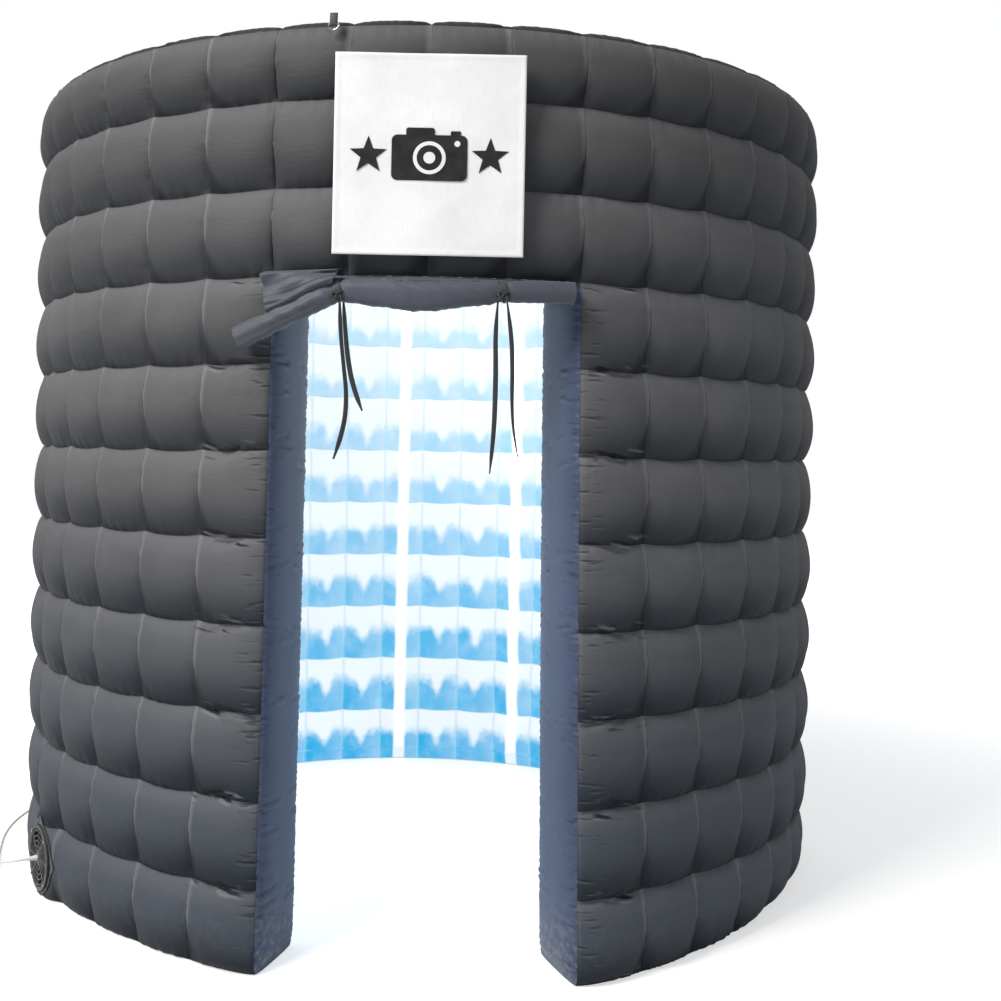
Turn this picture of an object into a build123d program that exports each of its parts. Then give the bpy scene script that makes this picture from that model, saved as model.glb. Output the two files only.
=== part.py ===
from build123d import *
import os
from math import cos, degrees, radians, sin, tan

# A round air-walled photo booth. Millimetres, +Z up. The origin is on the floor at the
# booth's axis, and the doorway faces -Y. Angles turn about the axis from the doorway's
# middle, positive toward +X, so the back of the booth is at 180.

# ---- Driving dimensions ----
OUTER_R = 1250.0          # outside of the wall, over the quilted bulges
INNER_R = 988.0           # room side of the wall, over the quilted bulges
SKIN = 3.0                # thickness given to every sewn skin
HEIGHT = 2340.0           # floor to the top of the cap
BASE_ROW = 207.0          # height of the lowest row of cells
ROW_PITCH = 214.0         # height of every other row of cells
ROW_SEAMS = 10            # level seams round the wall
COLUMN = 9.0              # angle of one column of cells
DOOR_HALF = 18.0          # half the doorway's angle, two columns
GORE = 27.0               # a sewn gore is three columns wide
GORES_IN_PANEL = 3        # gores in each of the four wall panels
SOFFIT_ROW = 7            # seam, counted from the lowest, that tops the doorway
TETHER = 1.5              # thickness of the inner tethers

LED_WIDTH = 30.0
LED_THICK = 4.0
LED_FOOT = 60.0
LED_HEAD = 40.0
HARNESS_D = 6.0

BANNER_W = 455.0
BANNER_H = 480.0
BANNER_MID = 1989.0
BANNER_THICK = 3.0
BANNER_GAP = 5.0          # wall to the banner's back, filled by its loop strips
LOOP_STRIP_W = 25.0
LOOP_STRIP_X = 110.0

ROLL_D = 58.0             # rolled-up door curtain
ROLL_CLEAR = 5.0          # wall to roll
TIE_W = 16.0

BLOWER_ANGLE = -58.5      # middle of the column that holds the blower
BLOWER_Z = 105.0
DUCT_R = 80.0
DUCT_WALL = 3.0
DUCT_LENGTH = 132.0
FLANGE_R = 92.0
SKIN_HOLE_R = 84.0
COLLAR_R = 112.0
COLLAR_THICK = 2.0
MOTOR_R = 30.0
MOTOR_LENGTH = 47.0
SHAFT_R = 3.0
IMPELLER_R = 74.0
BLADES = 7
FLAP_R = 78.0
SCREW_CIRCLE_R = 86.0

LEAD_D = 6.5
COIL_MID_D = 72.0         # across the middle of the put-away turns
COIL_BUNDLE = 20.0        # width and height of the bundle of turns

ZIP_ANGLE = 175.5
ZIP_FOOT = 250.0
ZIP_LENGTH = 520.0
ZIP_W = 34.0

SOFFIT_Z = BASE_ROW + SOFFIT_ROW * ROW_PITCH
CAP_Z = HEIGHT - SKIN
WALL_START = DOOR_HALF
WALL_END = 360.0 - DOOR_HALF

os.makedirs("parts", exist_ok=True)
made = {}


def save(name, shape):
    """Writes one sub-part and keeps it for the summary."""
    shape.label = name
    made[name] = shape
    export_step(shape, f"parts/{name}.step")


def group(name, solids):
    """Writes separate solids as one node."""
    save(name, Compound(children=list(solids)))


def around(angle, radius, z=0.0):
    """The point at an angle from the doorway's middle, a distance from the axis and a height."""
    return Vector(radius * sin(radians(angle)), -radius * cos(radians(angle)), z)


def turned(shape, angle):
    """Turns a shape made at +X about the axis to an angle from the doorway's middle."""
    return shape.rotate(Axis.Z, angle - 90.0)


def curved_panel(inner, outer, start, end, bottom, top):
    """A piece of ring wall between two angles from the doorway's middle."""
    first = start - 90.0
    sweep_angle = end - start
    with BuildSketch(Plane.XY.offset(bottom)) as ring:
        with BuildLine():
            out = CenterArc((0, 0), outer, first, sweep_angle)
            back = CenterArc((0, 0), inner, first, sweep_angle)
            Line(out @ 0, back @ 0)
            Line(out @ 1, back @ 1)
        make_face()
    return extrude(ring.sketch, amount=top - bottom).solid()


def disc(radius, near, far, hole=0.0, at=(0.0, 0.0)):
    """A disc or ring on the blower's axis, between two distances from the booth's axis."""
    plane = Plane(origin=(near, at[0], BLOWER_Z + at[1]), x_dir=(0, 1, 0), z_dir=(1, 0, 0))
    shape = plane * Circle(radius)
    if hole:
        shape -= plane * Circle(hole)
    return extrude(shape, amount=far - near).solid()


# ---- The air wall: skins, jambs, lintel, cap, base and inner tethers ----

PANELS = ["front_right", "back_right", "back_left", "front_left"]
panel_angle = GORE * GORES_IN_PANEL
blower_hole = turned(disc(SKIN_HOLE_R, OUTER_R - 30, OUTER_R + 30), BLOWER_ANGLE)


def gores(inner, outer, bottom, top, panel):
    """The three sewn gores of one wall panel."""
    first = WALL_START + panel * panel_angle
    return [
        curved_panel(inner, outer, first + GORE * n, first + GORE * (n + 1), bottom, top)
        for n in range(GORES_IN_PANEL)
    ]


def wall_skins():
    for number, name in enumerate(PANELS):
        outer = gores(OUTER_R - SKIN, OUTER_R, SKIN, CAP_Z, number)
        if name == "front_left":
            outer = [(gore - blower_hole).solid() for gore in outer]
        group(f"outer_skin_{name}", outer)
        group(f"inner_skin_{name}", gores(INNER_R, INNER_R + SKIN, SKIN, CAP_Z, number))


def doorway_skins():
    """The lintel's two faces and underside, and the wall's two ends beside the doorway."""
    halves = [(-DOOR_HALF, 0.0), (0.0, DOOR_HALF)]
    group("lintel_outer_skin", [
        curved_panel(OUTER_R - SKIN, OUTER_R, a, b, SOFFIT_Z, CAP_Z) for a, b in halves])
    group("lintel_inner_skin", [
        curved_panel(INNER_R, INNER_R + SKIN, a, b, SOFFIT_Z, CAP_Z) for a, b in halves])
    save("lintel_underside", curved_panel(
        INNER_R + SKIN, OUTER_R - SKIN, -DOOR_HALF, DOOR_HALF, SOFFIT_Z, SOFFIT_Z + SKIN))
    thin = degrees(SKIN / OUTER_R)
    ends = {"jamb_right": WALL_START, "jamb_left": -WALL_START - thin}
    for name, start in ends.items():
        save(name, curved_panel(
            INNER_R + SKIN, OUTER_R - SKIN, start, start + thin, SKIN, SOFFIT_Z))


def cap_and_base():
    starts = [WALL_START + GORE * n for n in range(12)]
    cap = [curved_panel(INNER_R, OUTER_R, a, a + GORE, CAP_Z, HEIGHT) for a in starts]
    cap.append(curved_panel(INNER_R, OUTER_R, -DOOR_HALF, DOOR_HALF, CAP_Z, HEIGHT))
    group("top_cap", cap)
    group("base_panel", [
        curved_panel(INNER_R, OUTER_R, a, a + GORE, 0.0, SKIN) for a in starts])


def tethers():
    """Webs inside the wall: one down each gore seam, and one along each level seam."""
    half = degrees(TETHER / 2 / OUTER_R)
    inner = INNER_R + SKIN
    outer = OUTER_R - SKIN
    seams = [WALL_START + GORE * n for n in range(1, 12)]
    group("column_tethers", [
        curved_panel(inner, outer, a - half, a + half, SKIN, CAP_Z) for a in seams])
    air_holes = [
        Cylinder(45.0, 20.0).moved(Location(around(COLUMN * (n + 0.5), (inner + outer) / 2)))
        for n in range(GORES_IN_PANEL)
    ]
    edge = degrees(SKIN / inner)
    web = curved_panel(inner, outer, edge, GORE - edge, -TETHER / 2, TETHER / 2)
    for hole in air_holes:
        web = web - hole
    webs = []
    for row in range(ROW_SEAMS):
        z = BASE_ROW + row * ROW_PITCH
        for n in range(12):
            webs.append(web.solid().rotate(Axis.Z, WALL_START + GORE * n).moved(Pos(0, 0, z)))
    group("row_tethers", webs)


# ---- Lights on the room side of the wall ----

def lights():
    """Twelve upright strips, one up the first column of each gore, and the lead that feeds them."""
    half = degrees(LED_WIDTH / 2 / INNER_R)
    for number, name in enumerate(PANELS):
        first = WALL_START + number * panel_angle + COLUMN / 2
        group(f"led_strips_{name}", [
            curved_panel(
                INNER_R - LED_THICK, INNER_R,
                first + GORE * n - half, first + GORE * n + half,
                LED_FOOT, CAP_Z - LED_HEAD)
            for n in range(GORES_IN_PANEL)
        ])
    start = around(WALL_START + COLUMN / 2, INNER_R - HARNESS_D / 2)
    loop = Plane(
        origin=start + Vector(0, 0, LED_FOOT - HARNESS_D),
        x_dir=start.normalized(), z_dir=Vector(0, 0, 1).cross(start.normalized()))
    ring = revolve(loop * Circle(HARNESS_D / 2), Axis.Z, 11 * GORE)
    save("led_harness", ring.solid())


CONTROLLER_ANGLE = -27.0
CONTROLLER_Z = 1100.0
CASE_W = 84.0
CASE_H = 56.0
CASE_DEPTH = 22.0
CASE_WALL = 2.0
BUTTON_R = 6.0
BUTTON_TRAVEL = 1.5


def light_controller():
    """A small case on the room side of the left jamb, with its board and push button."""
    face = INNER_R - CASE_DEPTH
    middle = INNER_R - CASE_DEPTH / 2
    case = Box(CASE_DEPTH, CASE_W, CASE_H).moved(Pos(middle, 0, CONTROLLER_Z))
    case -= Box(
        CASE_DEPTH - 2 * CASE_WALL - 1, CASE_W - 2 * CASE_WALL, CASE_H - 2 * CASE_WALL
    ).moved(Pos(middle - 0.5, 0, CONTROLLER_Z))
    # The case's back is trimmed to the curve of the wall that it is hung on.
    case &= Cylinder(INNER_R, HEIGHT).moved(Pos(0, 0, HEIGHT / 2))
    across = Rotation(0, 90, 0)
    bore = Cylinder(BUTTON_R + 0.3, 10.0)
    case -= bore.moved(Pos(face, 20, CONTROLLER_Z) * across)
    save("led_controller_case", turned(case.solid(), CONTROLLER_ANGLE))
    board = Box(1.6, CASE_W - 6, CASE_H - 6).moved(Pos(middle + 4.0, 0, CONTROLLER_Z))
    chips = [
        Box(2.4, 14, 10).moved(Pos(middle + 2.0, -18, CONTROLLER_Z + 8)),
        Box(2.4, 8, 8).moved(Pos(middle + 2.0, -2, CONTROLLER_Z - 12)),
    ]
    group("led_controller_board", [
        turned(piece.solid(), CONTROLLER_ANGLE) for piece in [board] + chips])
    button = Cylinder(BUTTON_R, 6.0).moved(Pos(face - 0.5, 20, CONTROLLER_Z) * across)
    save("led_controller_button", turned(button.solid(), CONTROLLER_ANGLE))


# ---- Banner over the doorway ----

def banner():
    back = -OUTER_R - BANNER_GAP
    sheet = Box(BANNER_W, BANNER_THICK, BANNER_H)
    save("banner", sheet.moved(Pos(0, back - BANNER_THICK / 2, BANNER_MID)).solid())
    drum = Cylinder(OUTER_R, HEIGHT).moved(Pos(0, 0, HEIGHT / 2))
    strips = []
    for side in (-1, 1):
        strip = Box(LOOP_STRIP_W, 30.0, BANNER_H - 40)
        strip = strip.moved(Pos(side * LOOP_STRIP_X, back + 0.3 + 15.0, BANNER_MID))
        strips.append((strip - drum).solid())
    group("banner_loop_strips", strips)


# ---- Rolled-up door curtain and its ties ----

ROLL_WALL_R = OUTER_R + ROLL_CLEAR + ROLL_D / 2
ROLL_DOOR_R = OUTER_R + 12.0
# Middle line of the roll: angle from the doorway's middle, distance from the axis, height.
# It hangs under the lintel, and its left end droops in front of the wall.
ROLL_ROUTE = [
    (-20.3, ROLL_WALL_R, 1556.0),
    (-17.2, ROLL_WALL_R, 1602.0),
    (-13.6, ROLL_WALL_R - 6, 1640.0),
    (-9.4, ROLL_DOOR_R, 1666.0),
    (-4.6, ROLL_DOOR_R, 1663.0),
    (0.0, ROLL_DOOR_R, 1659.0),
    (4.6, ROLL_DOOR_R, 1663.0),
    (8.6, ROLL_DOOR_R, 1669.0),
    (12.4, ROLL_DOOR_R, 1672.0),
    (16.2, ROLL_DOOR_R + 4, 1671.0),
]
WRAPS = [(-9.3, ROLL_DOOR_R + 1, 1664.0), (8.3, ROLL_DOOR_R, 1668.0)]
WRAP_INNER = ROLL_D / 2 + 3.0
WRAP_OUTER = ROLL_D / 2 + 5.0


def route_points(route):
    return [around(*point) for point in route]


def bend_radii(points, share=0.45):
    """The largest arc that fits each corner of a route."""
    radii = []
    for before, here, after in zip(points, points[1:], points[2:]):
        run_in = here - before
        run_out = after - here
        half_turn = radians(run_in.get_angle(run_out)) / 2
        radii.append(share * min(run_in.length, run_out.length) / tan(half_turn))
    return radii


def tube(points, diameter):
    """A round tube along straight runs joined by tangent arcs."""
    path = FilletPolyline(*points, radius=bend_radii(points))
    end = Plane(origin=points[0], z_dir=points[1] - points[0])
    return sweep(end * Circle(diameter / 2), path=path).solid()


def curtain():
    points = route_points(ROLL_ROUTE)
    save("door_curtain_roll", tube(points, ROLL_D))
    save("curtain_header", curved_panel(
        OUTER_R, OUTER_R + 2.0, -DOOR_HALF, DOOR_HALF, SOFFIT_Z, SOFFIT_Z + 34.0))
    wraps = []
    for angle, radius, z in WRAPS:
        middle = around(angle, radius, z)
        along = Vector(cos(radians(angle)), sin(radians(angle)), 0)
        plane = Plane(origin=middle - along * TIE_W / 2, z_dir=along)
        ring = plane * Circle(WRAP_OUTER) - plane * Circle(WRAP_INNER)
        wraps.append(extrude(ring, amount=TIE_W).solid())
    group("tie_wraps", wraps)


# Loose tie ends, from the wrap down: sideways place, distance in front of the axis, height.
TIE_ROUTES = {
    "tie_tape_left_long": [
        (-206, -1258, 1628), (-203, -1260, 1570), (-194, -1258, 1490),
        (-184, -1257, 1410), (-190, -1260, 1330), (-213, -1264, 1262)],
    "tie_tape_left_short": [
        (-198, -1236, 1628), (-193, -1236, 1575), (-185, -1238, 1500),
        (-170, -1240, 1430), (-148, -1242, 1378)],
    "tie_tape_right_long": [
        (164, -1260, 1632), (165, -1261, 1572), (168, -1259, 1490),
        (168, -1260, 1410), (166, -1258, 1320), (158, -1260, 1234)],
    "tie_tape_right_short": [
        (198, -1240, 1632), (204, -1241, 1575), (209, -1243, 1490),
        (209, -1241, 1400), (215, -1243, 1325), (228, -1246, 1262)],
}


def ties():
    for name, route in TIE_ROUTES.items():
        points = [Vector(*point) for point in route]
        print(name, "length", round(path_length(points)), "radii", shown(bend_radii(points)))
        save(name, tube(points, TIE_W))


def path_length(points):
    return sum((b - a).length for a, b in zip(points, points[1:]))


def shown(values):
    return [round(value, 1) for value in values]


# ---- Built-in blower, made on the +X side and turned into place ----

FLANGE_NEAR = OUTER_R + COLLAR_THICK + 0.5
FLANGE_FAR = FLANGE_NEAR + 3.5
GUARD_FAR = FLANGE_FAR + 2.5
DUCT_NEAR = FLANGE_NEAR - DUCT_LENGTH
MOTOR_FAR = FLANGE_NEAR - 0.5
MOTOR_NEAR = MOTOR_FAR - MOTOR_LENGTH
HUB_FAR = MOTOR_NEAR - 6.0
HUB_NEAR = HUB_FAR - 28.0
BLADE_MID = (HUB_NEAR + HUB_FAR) / 2
FLAP_FAR = DUCT_NEAR - 0.6
FLAP_NEAR = FLAP_FAR - 2.0
HINGE_X = FLAP_NEAR - 3.0
HINGE_Z = 86.0            # above the blower's axis
HINGE_PIN_R = 2.0
GLAND_R = 5.4
GLAND_FAR = GUARD_FAR + 34.0
SCREW_TURNS = (45.0, 135.0, 225.0, 315.0)


def screw_places():
    return [
        (SCREW_CIRCLE_R * cos(radians(turn)), SCREW_CIRCLE_R * sin(radians(turn)))
        for turn in SCREW_TURNS
    ]


def place(shape):
    return turned(shape, BLOWER_ANGLE)


def blower_case():
    collar = disc(COLLAR_R, OUTER_R - 20, OUTER_R + 20, SKIN_HOLE_R)
    collar &= Cylinder(OUTER_R + COLLAR_THICK, 400).moved(Pos(0, 0, BLOWER_Z))
    collar -= Cylinder(OUTER_R, 400).moved(Pos(0, 0, BLOWER_Z))
    # The ring stops just above the floor.
    collar -= Box(200, 400, 200).moved(Pos(OUTER_R, 0, -97))
    save("blower_collar", place(collar.solid()))

    duct = disc(DUCT_R, DUCT_NEAR, FLANGE_FAR, DUCT_R - DUCT_WALL)
    duct += disc(FLANGE_R, FLANGE_NEAR, FLANGE_FAR, DUCT_R - DUCT_WALL)
    for side in (-1, 1):
        ear = Box(16.0, 4.0, 14.0).moved(
            Pos(HINGE_X + 4.0, side * 24.0, BLOWER_Z + HINGE_Z - 3.0))
        ear -= disc(DUCT_R - DUCT_WALL, DUCT_NEAR - 20, DUCT_NEAR + 20)
        ear -= hinge_rod(HINGE_PIN_R)
        duct += ear
    for spot in screw_places():
        duct -= disc(2.1, FLANGE_NEAR - 1, FLANGE_FAR + 1, at=spot)
    save("blower_housing", place(duct.solid()))

    guard = disc(20.0, FLANGE_FAR, GUARD_FAR, GLAND_R + 0.1)
    for radius in (34.0, 48.0, 62.0, 76.0):
        guard += disc(radius, FLANGE_FAR, GUARD_FAR, radius - 3.0)
    guard += disc(SCREW_CIRCLE_R + 5, FLANGE_FAR, GUARD_FAR, SCREW_CIRCLE_R - 5)
    for spoke in range(8):
        bar = Box(GUARD_FAR - FLANGE_FAR, 3.5, SCREW_CIRCLE_R - 22).moved(
            Pos((FLANGE_FAR + GUARD_FAR) / 2, 0, (SCREW_CIRCLE_R + 14) / 2))
        guard += bar.rotate(Axis.X, spoke * 45.0).moved(Pos(0, 0, BLOWER_Z))
    for spot in screw_places():
        guard -= disc(2.1, FLANGE_FAR - 1, GUARD_FAR + 1, at=spot)
    save("blower_guard", place(guard.solid()))

    screws = []
    for spot in screw_places():
        head = disc(4.5, GUARD_FAR, GUARD_FAR + 2.4, at=spot)
        screws.append((head + disc(2.0, FLANGE_NEAR, GUARD_FAR + 1, at=spot)).solid())
    group("blower_screws", [place(screw) for screw in screws])


def hinge_rod(radius, length=56.0):
    """A rod on the check flap's hinge line."""
    rod = Cylinder(radius, length).rotate(Axis.X, 90.0)
    return rod.moved(Pos(HINGE_X, 0, BLOWER_Z + HINGE_Z))


def blower_works():
    motor = disc(MOTOR_R, MOTOR_NEAR, MOTOR_FAR)
    motor -= disc(SHAFT_R + 0.05, MOTOR_NEAR - 1, MOTOR_NEAR + 16)
    save("blower_motor", place(motor.solid()))

    struts = []
    reach = DUCT_R - DUCT_WALL - MOTOR_R
    for turn in (90.0, 210.0, 330.0):
        strut = Box(6.0, 8.0, reach + 4.0).moved(Pos(MOTOR_FAR - 12, 0, MOTOR_R + reach / 2))
        strut &= Cylinder(DUCT_R - DUCT_WALL, 20).rotate(Axis.Y, 90).moved(
            Pos(MOTOR_FAR - 12, 0, 0))
        strut -= Cylinder(MOTOR_R, 20).rotate(Axis.Y, 90).moved(Pos(MOTOR_FAR - 12, 0, 0))
        struts.append(strut.solid().rotate(Axis.X, turn).moved(Pos(0, 0, BLOWER_Z)))
    group("blower_struts", [place(strut) for strut in struts])

    wheel = disc(26.0, HUB_NEAR, HUB_FAR)
    wheel += disc(SHAFT_R, HUB_FAR - 1, MOTOR_NEAR + 15)
    for blade in range(BLADES):
        span = IMPELLER_R - 24.0
        vane = Box(2.5, 36.0, span).rotate(Axis.Z, 38.0)
        vane = vane.moved(Pos(BLADE_MID, 0, 24.0 + span / 2))
        wheel += vane.rotate(Axis.X, blade * 360.0 / BLADES).moved(Pos(0, 0, BLOWER_Z))
    rim = disc(IMPELLER_R, HUB_NEAR - 6, HUB_FAR + 6)
    save("blower_impeller", place((wheel & (rim + disc(SHAFT_R + 1, HUB_FAR, MOTOR_FAR))).solid()))


def check_flap():
    flap = disc(FLAP_R, FLAP_NEAR, FLAP_FAR)
    leaf = Box(2.0, 38.0, 22.0).moved(
        Pos((FLAP_NEAR + FLAP_FAR) / 2, 0, BLOWER_Z + HINGE_Z - 11.0))
    barrel = Cylinder(4.2, 38.0).rotate(Axis.X, 90.0).moved(
        Pos(HINGE_X, 0, BLOWER_Z + HINGE_Z))
    flap = flap + leaf + barrel
    flap -= hinge_rod(HINGE_PIN_R + 0.1)
    save("check_flap", place(flap.solid()))
    save("check_flap_pin", place(hinge_rod(HINGE_PIN_R).solid()))


# ---- Mains lead: out of the blower, round the wall to the back, coil and plug ----

# Angle from the blower toward the back, distance from the axis, height.
LEAD_ROUTE = [
    (0.0, GLAND_FAR, 105.0), (0.0, 1319.0, 104.0), (0.9, 1345.0, 99.0), (2.6, 1357.0, 91.0),
    (4.8, 1357.0, 76.0), (7.2, 1349.0, 57.0), (9.6, 1340.0, 38.0), (12.2, 1334.0, 21.0),
    (15.2, 1331.0, 9.0), (18.8, 1332.0, 4.4), (22.6, 1337.0, 3.5), (26.6, 1345.0, 3.4),
    (30.0, 1350.0, 3.4), (33.4, 1353.0, 3.4), (36.8, 1352.0, 3.4), (40.2, 1350.0, 3.4),
    (43.6, 1349.0, 3.4), (47.6, 1355.0, 3.4), (51.4, 1372.0, 3.4), (54.6, 1389.0, 3.4),
]
COIL_ANGLE = 58.6
COIL_R = 1432.0
# The lead meets the coil on the side of the booth, and its last stretch leaves there.
COIL_ENTRY = (-33.7, 35.7, 3.4)
# Onward from the coil's middle, toward the booth from it, and height.
TAIL_ROUTE = [(33.7, 35.7, 12.5), (62.0, 38.0, 8.0), (94.0, 46.0, 4.4), (122.0, 62.0, 3.4)]
PLUG_LENGTH = 46.0


def lead_point(turn, radius, z):
    return around(BLOWER_ANGLE - turn, radius, z)


def lead():
    points = [lead_point(*point) for point in LEAD_ROUTE]
    middle = lead_point(COIL_ANGLE, COIL_R, 0.0)
    inward = Vector(-middle.X, -middle.Y, 0).normalized()
    onward = inward.rotate(Axis.Z, 90)

    def beside_coil(on, toward, z):
        return middle + onward * on + inward * toward + Vector(0, 0, z)

    points.append(beside_coil(*COIL_ENTRY))
    print("power_lead length", round(path_length(points)), "radii", shown(bend_radii(points)))
    save("power_lead", tube(points, LEAD_D))
    outer = (COIL_MID_D + COIL_BUNDLE) / 2
    ring = Cylinder(outer, COIL_BUNDLE) - Cylinder(outer - COIL_BUNDLE, COIL_BUNDLE)
    save("power_lead_coil", ring.moved(Pos(middle.X, middle.Y, COIL_BUNDLE / 2)).solid())
    tail = [beside_coil(*point) for point in TAIL_ROUTE]
    print("power_lead_tail length", round(path_length(tail)), "radii", shown(bend_radii(tail)))
    save("power_lead_tail", tube(tail, LEAD_D))

    heading = (tail[-1] - tail[-2]).normalized()
    base = tail[-1]
    sole = base.Z
    body = Plane(origin=base, x_dir=Vector(0, 0, 1).cross(heading), z_dir=heading)
    plug = extrude(body * Circle(LEAD_D / 2 + 1.5), amount=12.0)
    lift = 12.0 - sole
    grip = Plane(
        origin=base + heading * 12 + Vector(0, 0, lift),
        x_dir=Vector(0, 0, 1).cross(heading), z_dir=heading)
    plug += extrude(grip * RectangleRounded(30.0, 23.0, 6.0), amount=PLUG_LENGTH - 12)
    plug -= Box(400, 400, 20).moved(Pos(base.X, base.Y, -10))
    save("power_plug", plug.solid())
    pins = []
    tip = Plane(
        origin=base + heading * PLUG_LENGTH + Vector(0, 0, lift),
        x_dir=Vector(0, 0, 1).cross(heading), z_dir=heading)
    for side in (-6.35, 6.35):
        pins.append(extrude(tip * Pos(side, 0) * Rectangle(1.6, 6.4), amount=18.0).solid())
    group("power_plug_pins", pins)

    near = Plane(origin=(MOTOR_FAR, 0, BLOWER_Z), x_dir=(0, 1, 0), z_dir=(1, 0, 0))
    waist = near.offset(GUARD_FAR + 3 - MOTOR_FAR)
    far = near.offset(GLAND_FAR - MOTOR_FAR)
    gland = extrude(near * Circle(GLAND_R), amount=GUARD_FAR + 3 - MOTOR_FAR)
    gland += loft([waist * Circle(GLAND_R + 2.6), far * Circle(LEAD_D / 2 + 0.6)])
    save("power_lead_gland", place(gland.solid()))


# ---- Deflation zip at the back ----

SLIDER_GAP = 0.4
SLIDER_THICK = 4.0
COVER_GAP = 2.6


def deflation_zip():
    """An upright zip with its slider, under a soft cover hinged on one side."""
    half = degrees(ZIP_W / 2 / OUTER_R)
    top = ZIP_FOOT + ZIP_LENGTH
    tape = curved_panel(OUTER_R, OUTER_R + 2, -half, half, ZIP_FOOT, top)
    tape = tape.rotate(Axis.Z, ZIP_ANGLE)
    save("deflation_zip", tape)

    near = OUTER_R + 2 + SLIDER_GAP
    slider = Box(SLIDER_THICK, 11.0, 16.0).moved(
        Pos(near + SLIDER_THICK / 2, 0, ZIP_FOOT + 14.0))
    tab = Box(1.4, 7.0, 30.0).moved(Pos(near + SLIDER_THICK - 0.7, 0, ZIP_FOOT - 6.0))
    save("zip_slider", turned((slider + tab).solid(), ZIP_ANGLE))

    cover_near = near + SLIDER_THICK + COVER_GAP
    cover = Box(2.0, 70.0, ZIP_LENGTH + 60).moved(
        Pos(cover_near + 1.0, 0, ZIP_FOOT + ZIP_LENGTH / 2 - 6))
    save("zip_cover", turned(cover.solid(), ZIP_ANGLE))
    batten = Box(cover_near - OUTER_R - 0.4, 10.0, ZIP_LENGTH + 60).moved(
        Pos((cover_near - 0.4 + OUTER_R) / 2, -30.0, ZIP_FOOT + ZIP_LENGTH / 2 - 6))
    save("zip_cover_seam", turned(batten.solid(), ZIP_ANGLE))


# ---- Anchor rings at the top edge ----

RING_ANGLES = {"front": -10.8, "back": 169.2}
RING_WIRE_R = 2.0
RING_R = 13.0
RING_Z = 2302.0


def anchors():
    """A folded webbing tab and a D ring that swings in it, at the front and the back."""
    tabs = []
    bar_x = OUTER_R + 5.0
    for name, angle in RING_ANGLES.items():
        tab = Box(9.0, 18.0, 34.0).moved(Pos(OUTER_R + 4.5, 0, RING_Z + 12.0))
        tab -= Cylinder(OUTER_R, 200).moved(Pos(0, 0, RING_Z))
        tab -= Cylinder(RING_WIRE_R + 0.4, 40).rotate(Axis.X, 90).moved(Pos(bar_x, 0, RING_Z))
        tabs.append(turned(tab.solid(), angle))
        bar = Cylinder(RING_WIRE_R, 2 * RING_R).rotate(Axis.X, 90)
        profile = Plane(origin=(0, RING_R, 0), x_dir=(0, 1, 0), z_dir=(0, 0, -1))
        bow = revolve(profile * Circle(RING_WIRE_R), Axis.X, -180)
        ring = (bar + bow).moved(Pos(bar_x, 0, RING_Z))
        save(f"anchor_ring_{name}", turned(ring.solid(), angle))
    group("anchor_tabs", tabs)


wall_skins()
doorway_skins()
cap_and_base()
tethers()
lights()
light_controller()
banner()
curtain()
ties()
blower_case()
blower_works()
check_flap()
lead()
deflation_zip()
anchors()

for name, shape in made.items():
    box = shape.bounding_box()
    print(
        f"{name:26s} solids {len(shape.solids()):3d}"
        f"  x {box.min.X:8.1f} {box.max.X:8.1f}"
        f"  y {box.min.Y:8.1f} {box.max.Y:8.1f}"
        f"  z {box.min.Z:8.1f} {box.max.Z:8.1f}")
print(len(made), "nodes")
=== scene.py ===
"""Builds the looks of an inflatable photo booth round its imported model."""
import math

import bpy
import numpy as np
from mathutils import Matrix, Vector


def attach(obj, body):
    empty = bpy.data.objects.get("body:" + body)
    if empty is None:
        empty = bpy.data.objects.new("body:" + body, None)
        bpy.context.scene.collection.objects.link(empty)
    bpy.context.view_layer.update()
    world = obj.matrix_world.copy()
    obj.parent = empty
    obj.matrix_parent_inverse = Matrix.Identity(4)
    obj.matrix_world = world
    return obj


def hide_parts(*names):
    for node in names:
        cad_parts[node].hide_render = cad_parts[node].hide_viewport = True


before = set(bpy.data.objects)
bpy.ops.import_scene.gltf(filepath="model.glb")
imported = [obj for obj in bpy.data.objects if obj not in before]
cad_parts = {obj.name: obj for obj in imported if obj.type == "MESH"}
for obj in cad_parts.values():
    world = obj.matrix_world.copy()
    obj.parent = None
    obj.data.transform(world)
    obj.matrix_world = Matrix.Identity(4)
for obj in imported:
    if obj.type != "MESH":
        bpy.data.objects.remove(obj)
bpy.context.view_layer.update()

bl_info = {
    "name": "Inflatable Photo Booth",
    "version": (1, 0, 0),
    "blender": (4, 5, 0),
    "location": "3D View > Sidebar > Booth",
    "description": "Quilted air wall, lit lining, door curtain, blower and fittings",
    "category": "Add Mesh",
}

# ---- Sizes in metres, angles in degrees from the doorway's middle ----

COLUMN = 9.0
DOOR_HALF = 18.0
COLUMNS = 36
DOOR_COLUMNS = 4
ROW_PITCH = 0.214
ROW_LEVELS = np.array([0.0] + [0.207 + ROW_PITCH * k for k in range(10)] + [2.309])
ROWS = len(ROW_LEVELS) - 1
SOFFIT_ROW = 8
SOFFIT_Z = ROW_LEVELS[SOFFIT_ROW]
OUTER_SEAM_R = 1.217
OUTER_CREST_R = 1.250
INNER_SEAM_R = 1.008
INNER_CREST_R = 0.988
OUTER_CELL_W = 0.196
INNER_CELL_W = 0.155
JAMB_W = 0.24
CAP_W = 0.22
FLOOR_GAP = 0.003
TOP_Z = 2.340
PANELS = ("front_right", "back_right", "back_left", "front_left")
PANEL_COLUMNS = 9
BLOWER_ANGLE = -58.5
BLOWER_Z = 0.105
ZIP_ANGLE = 175.5
ZIP_TAPE_Z = (0.250, 0.770)
ZIP_COVER_Z = (0.214, 0.794)
ZIP_COVER_HALF = 0.035
RING_ANGLES = (-10.8, 169.2)
HARNESS_Z = 0.054
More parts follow.
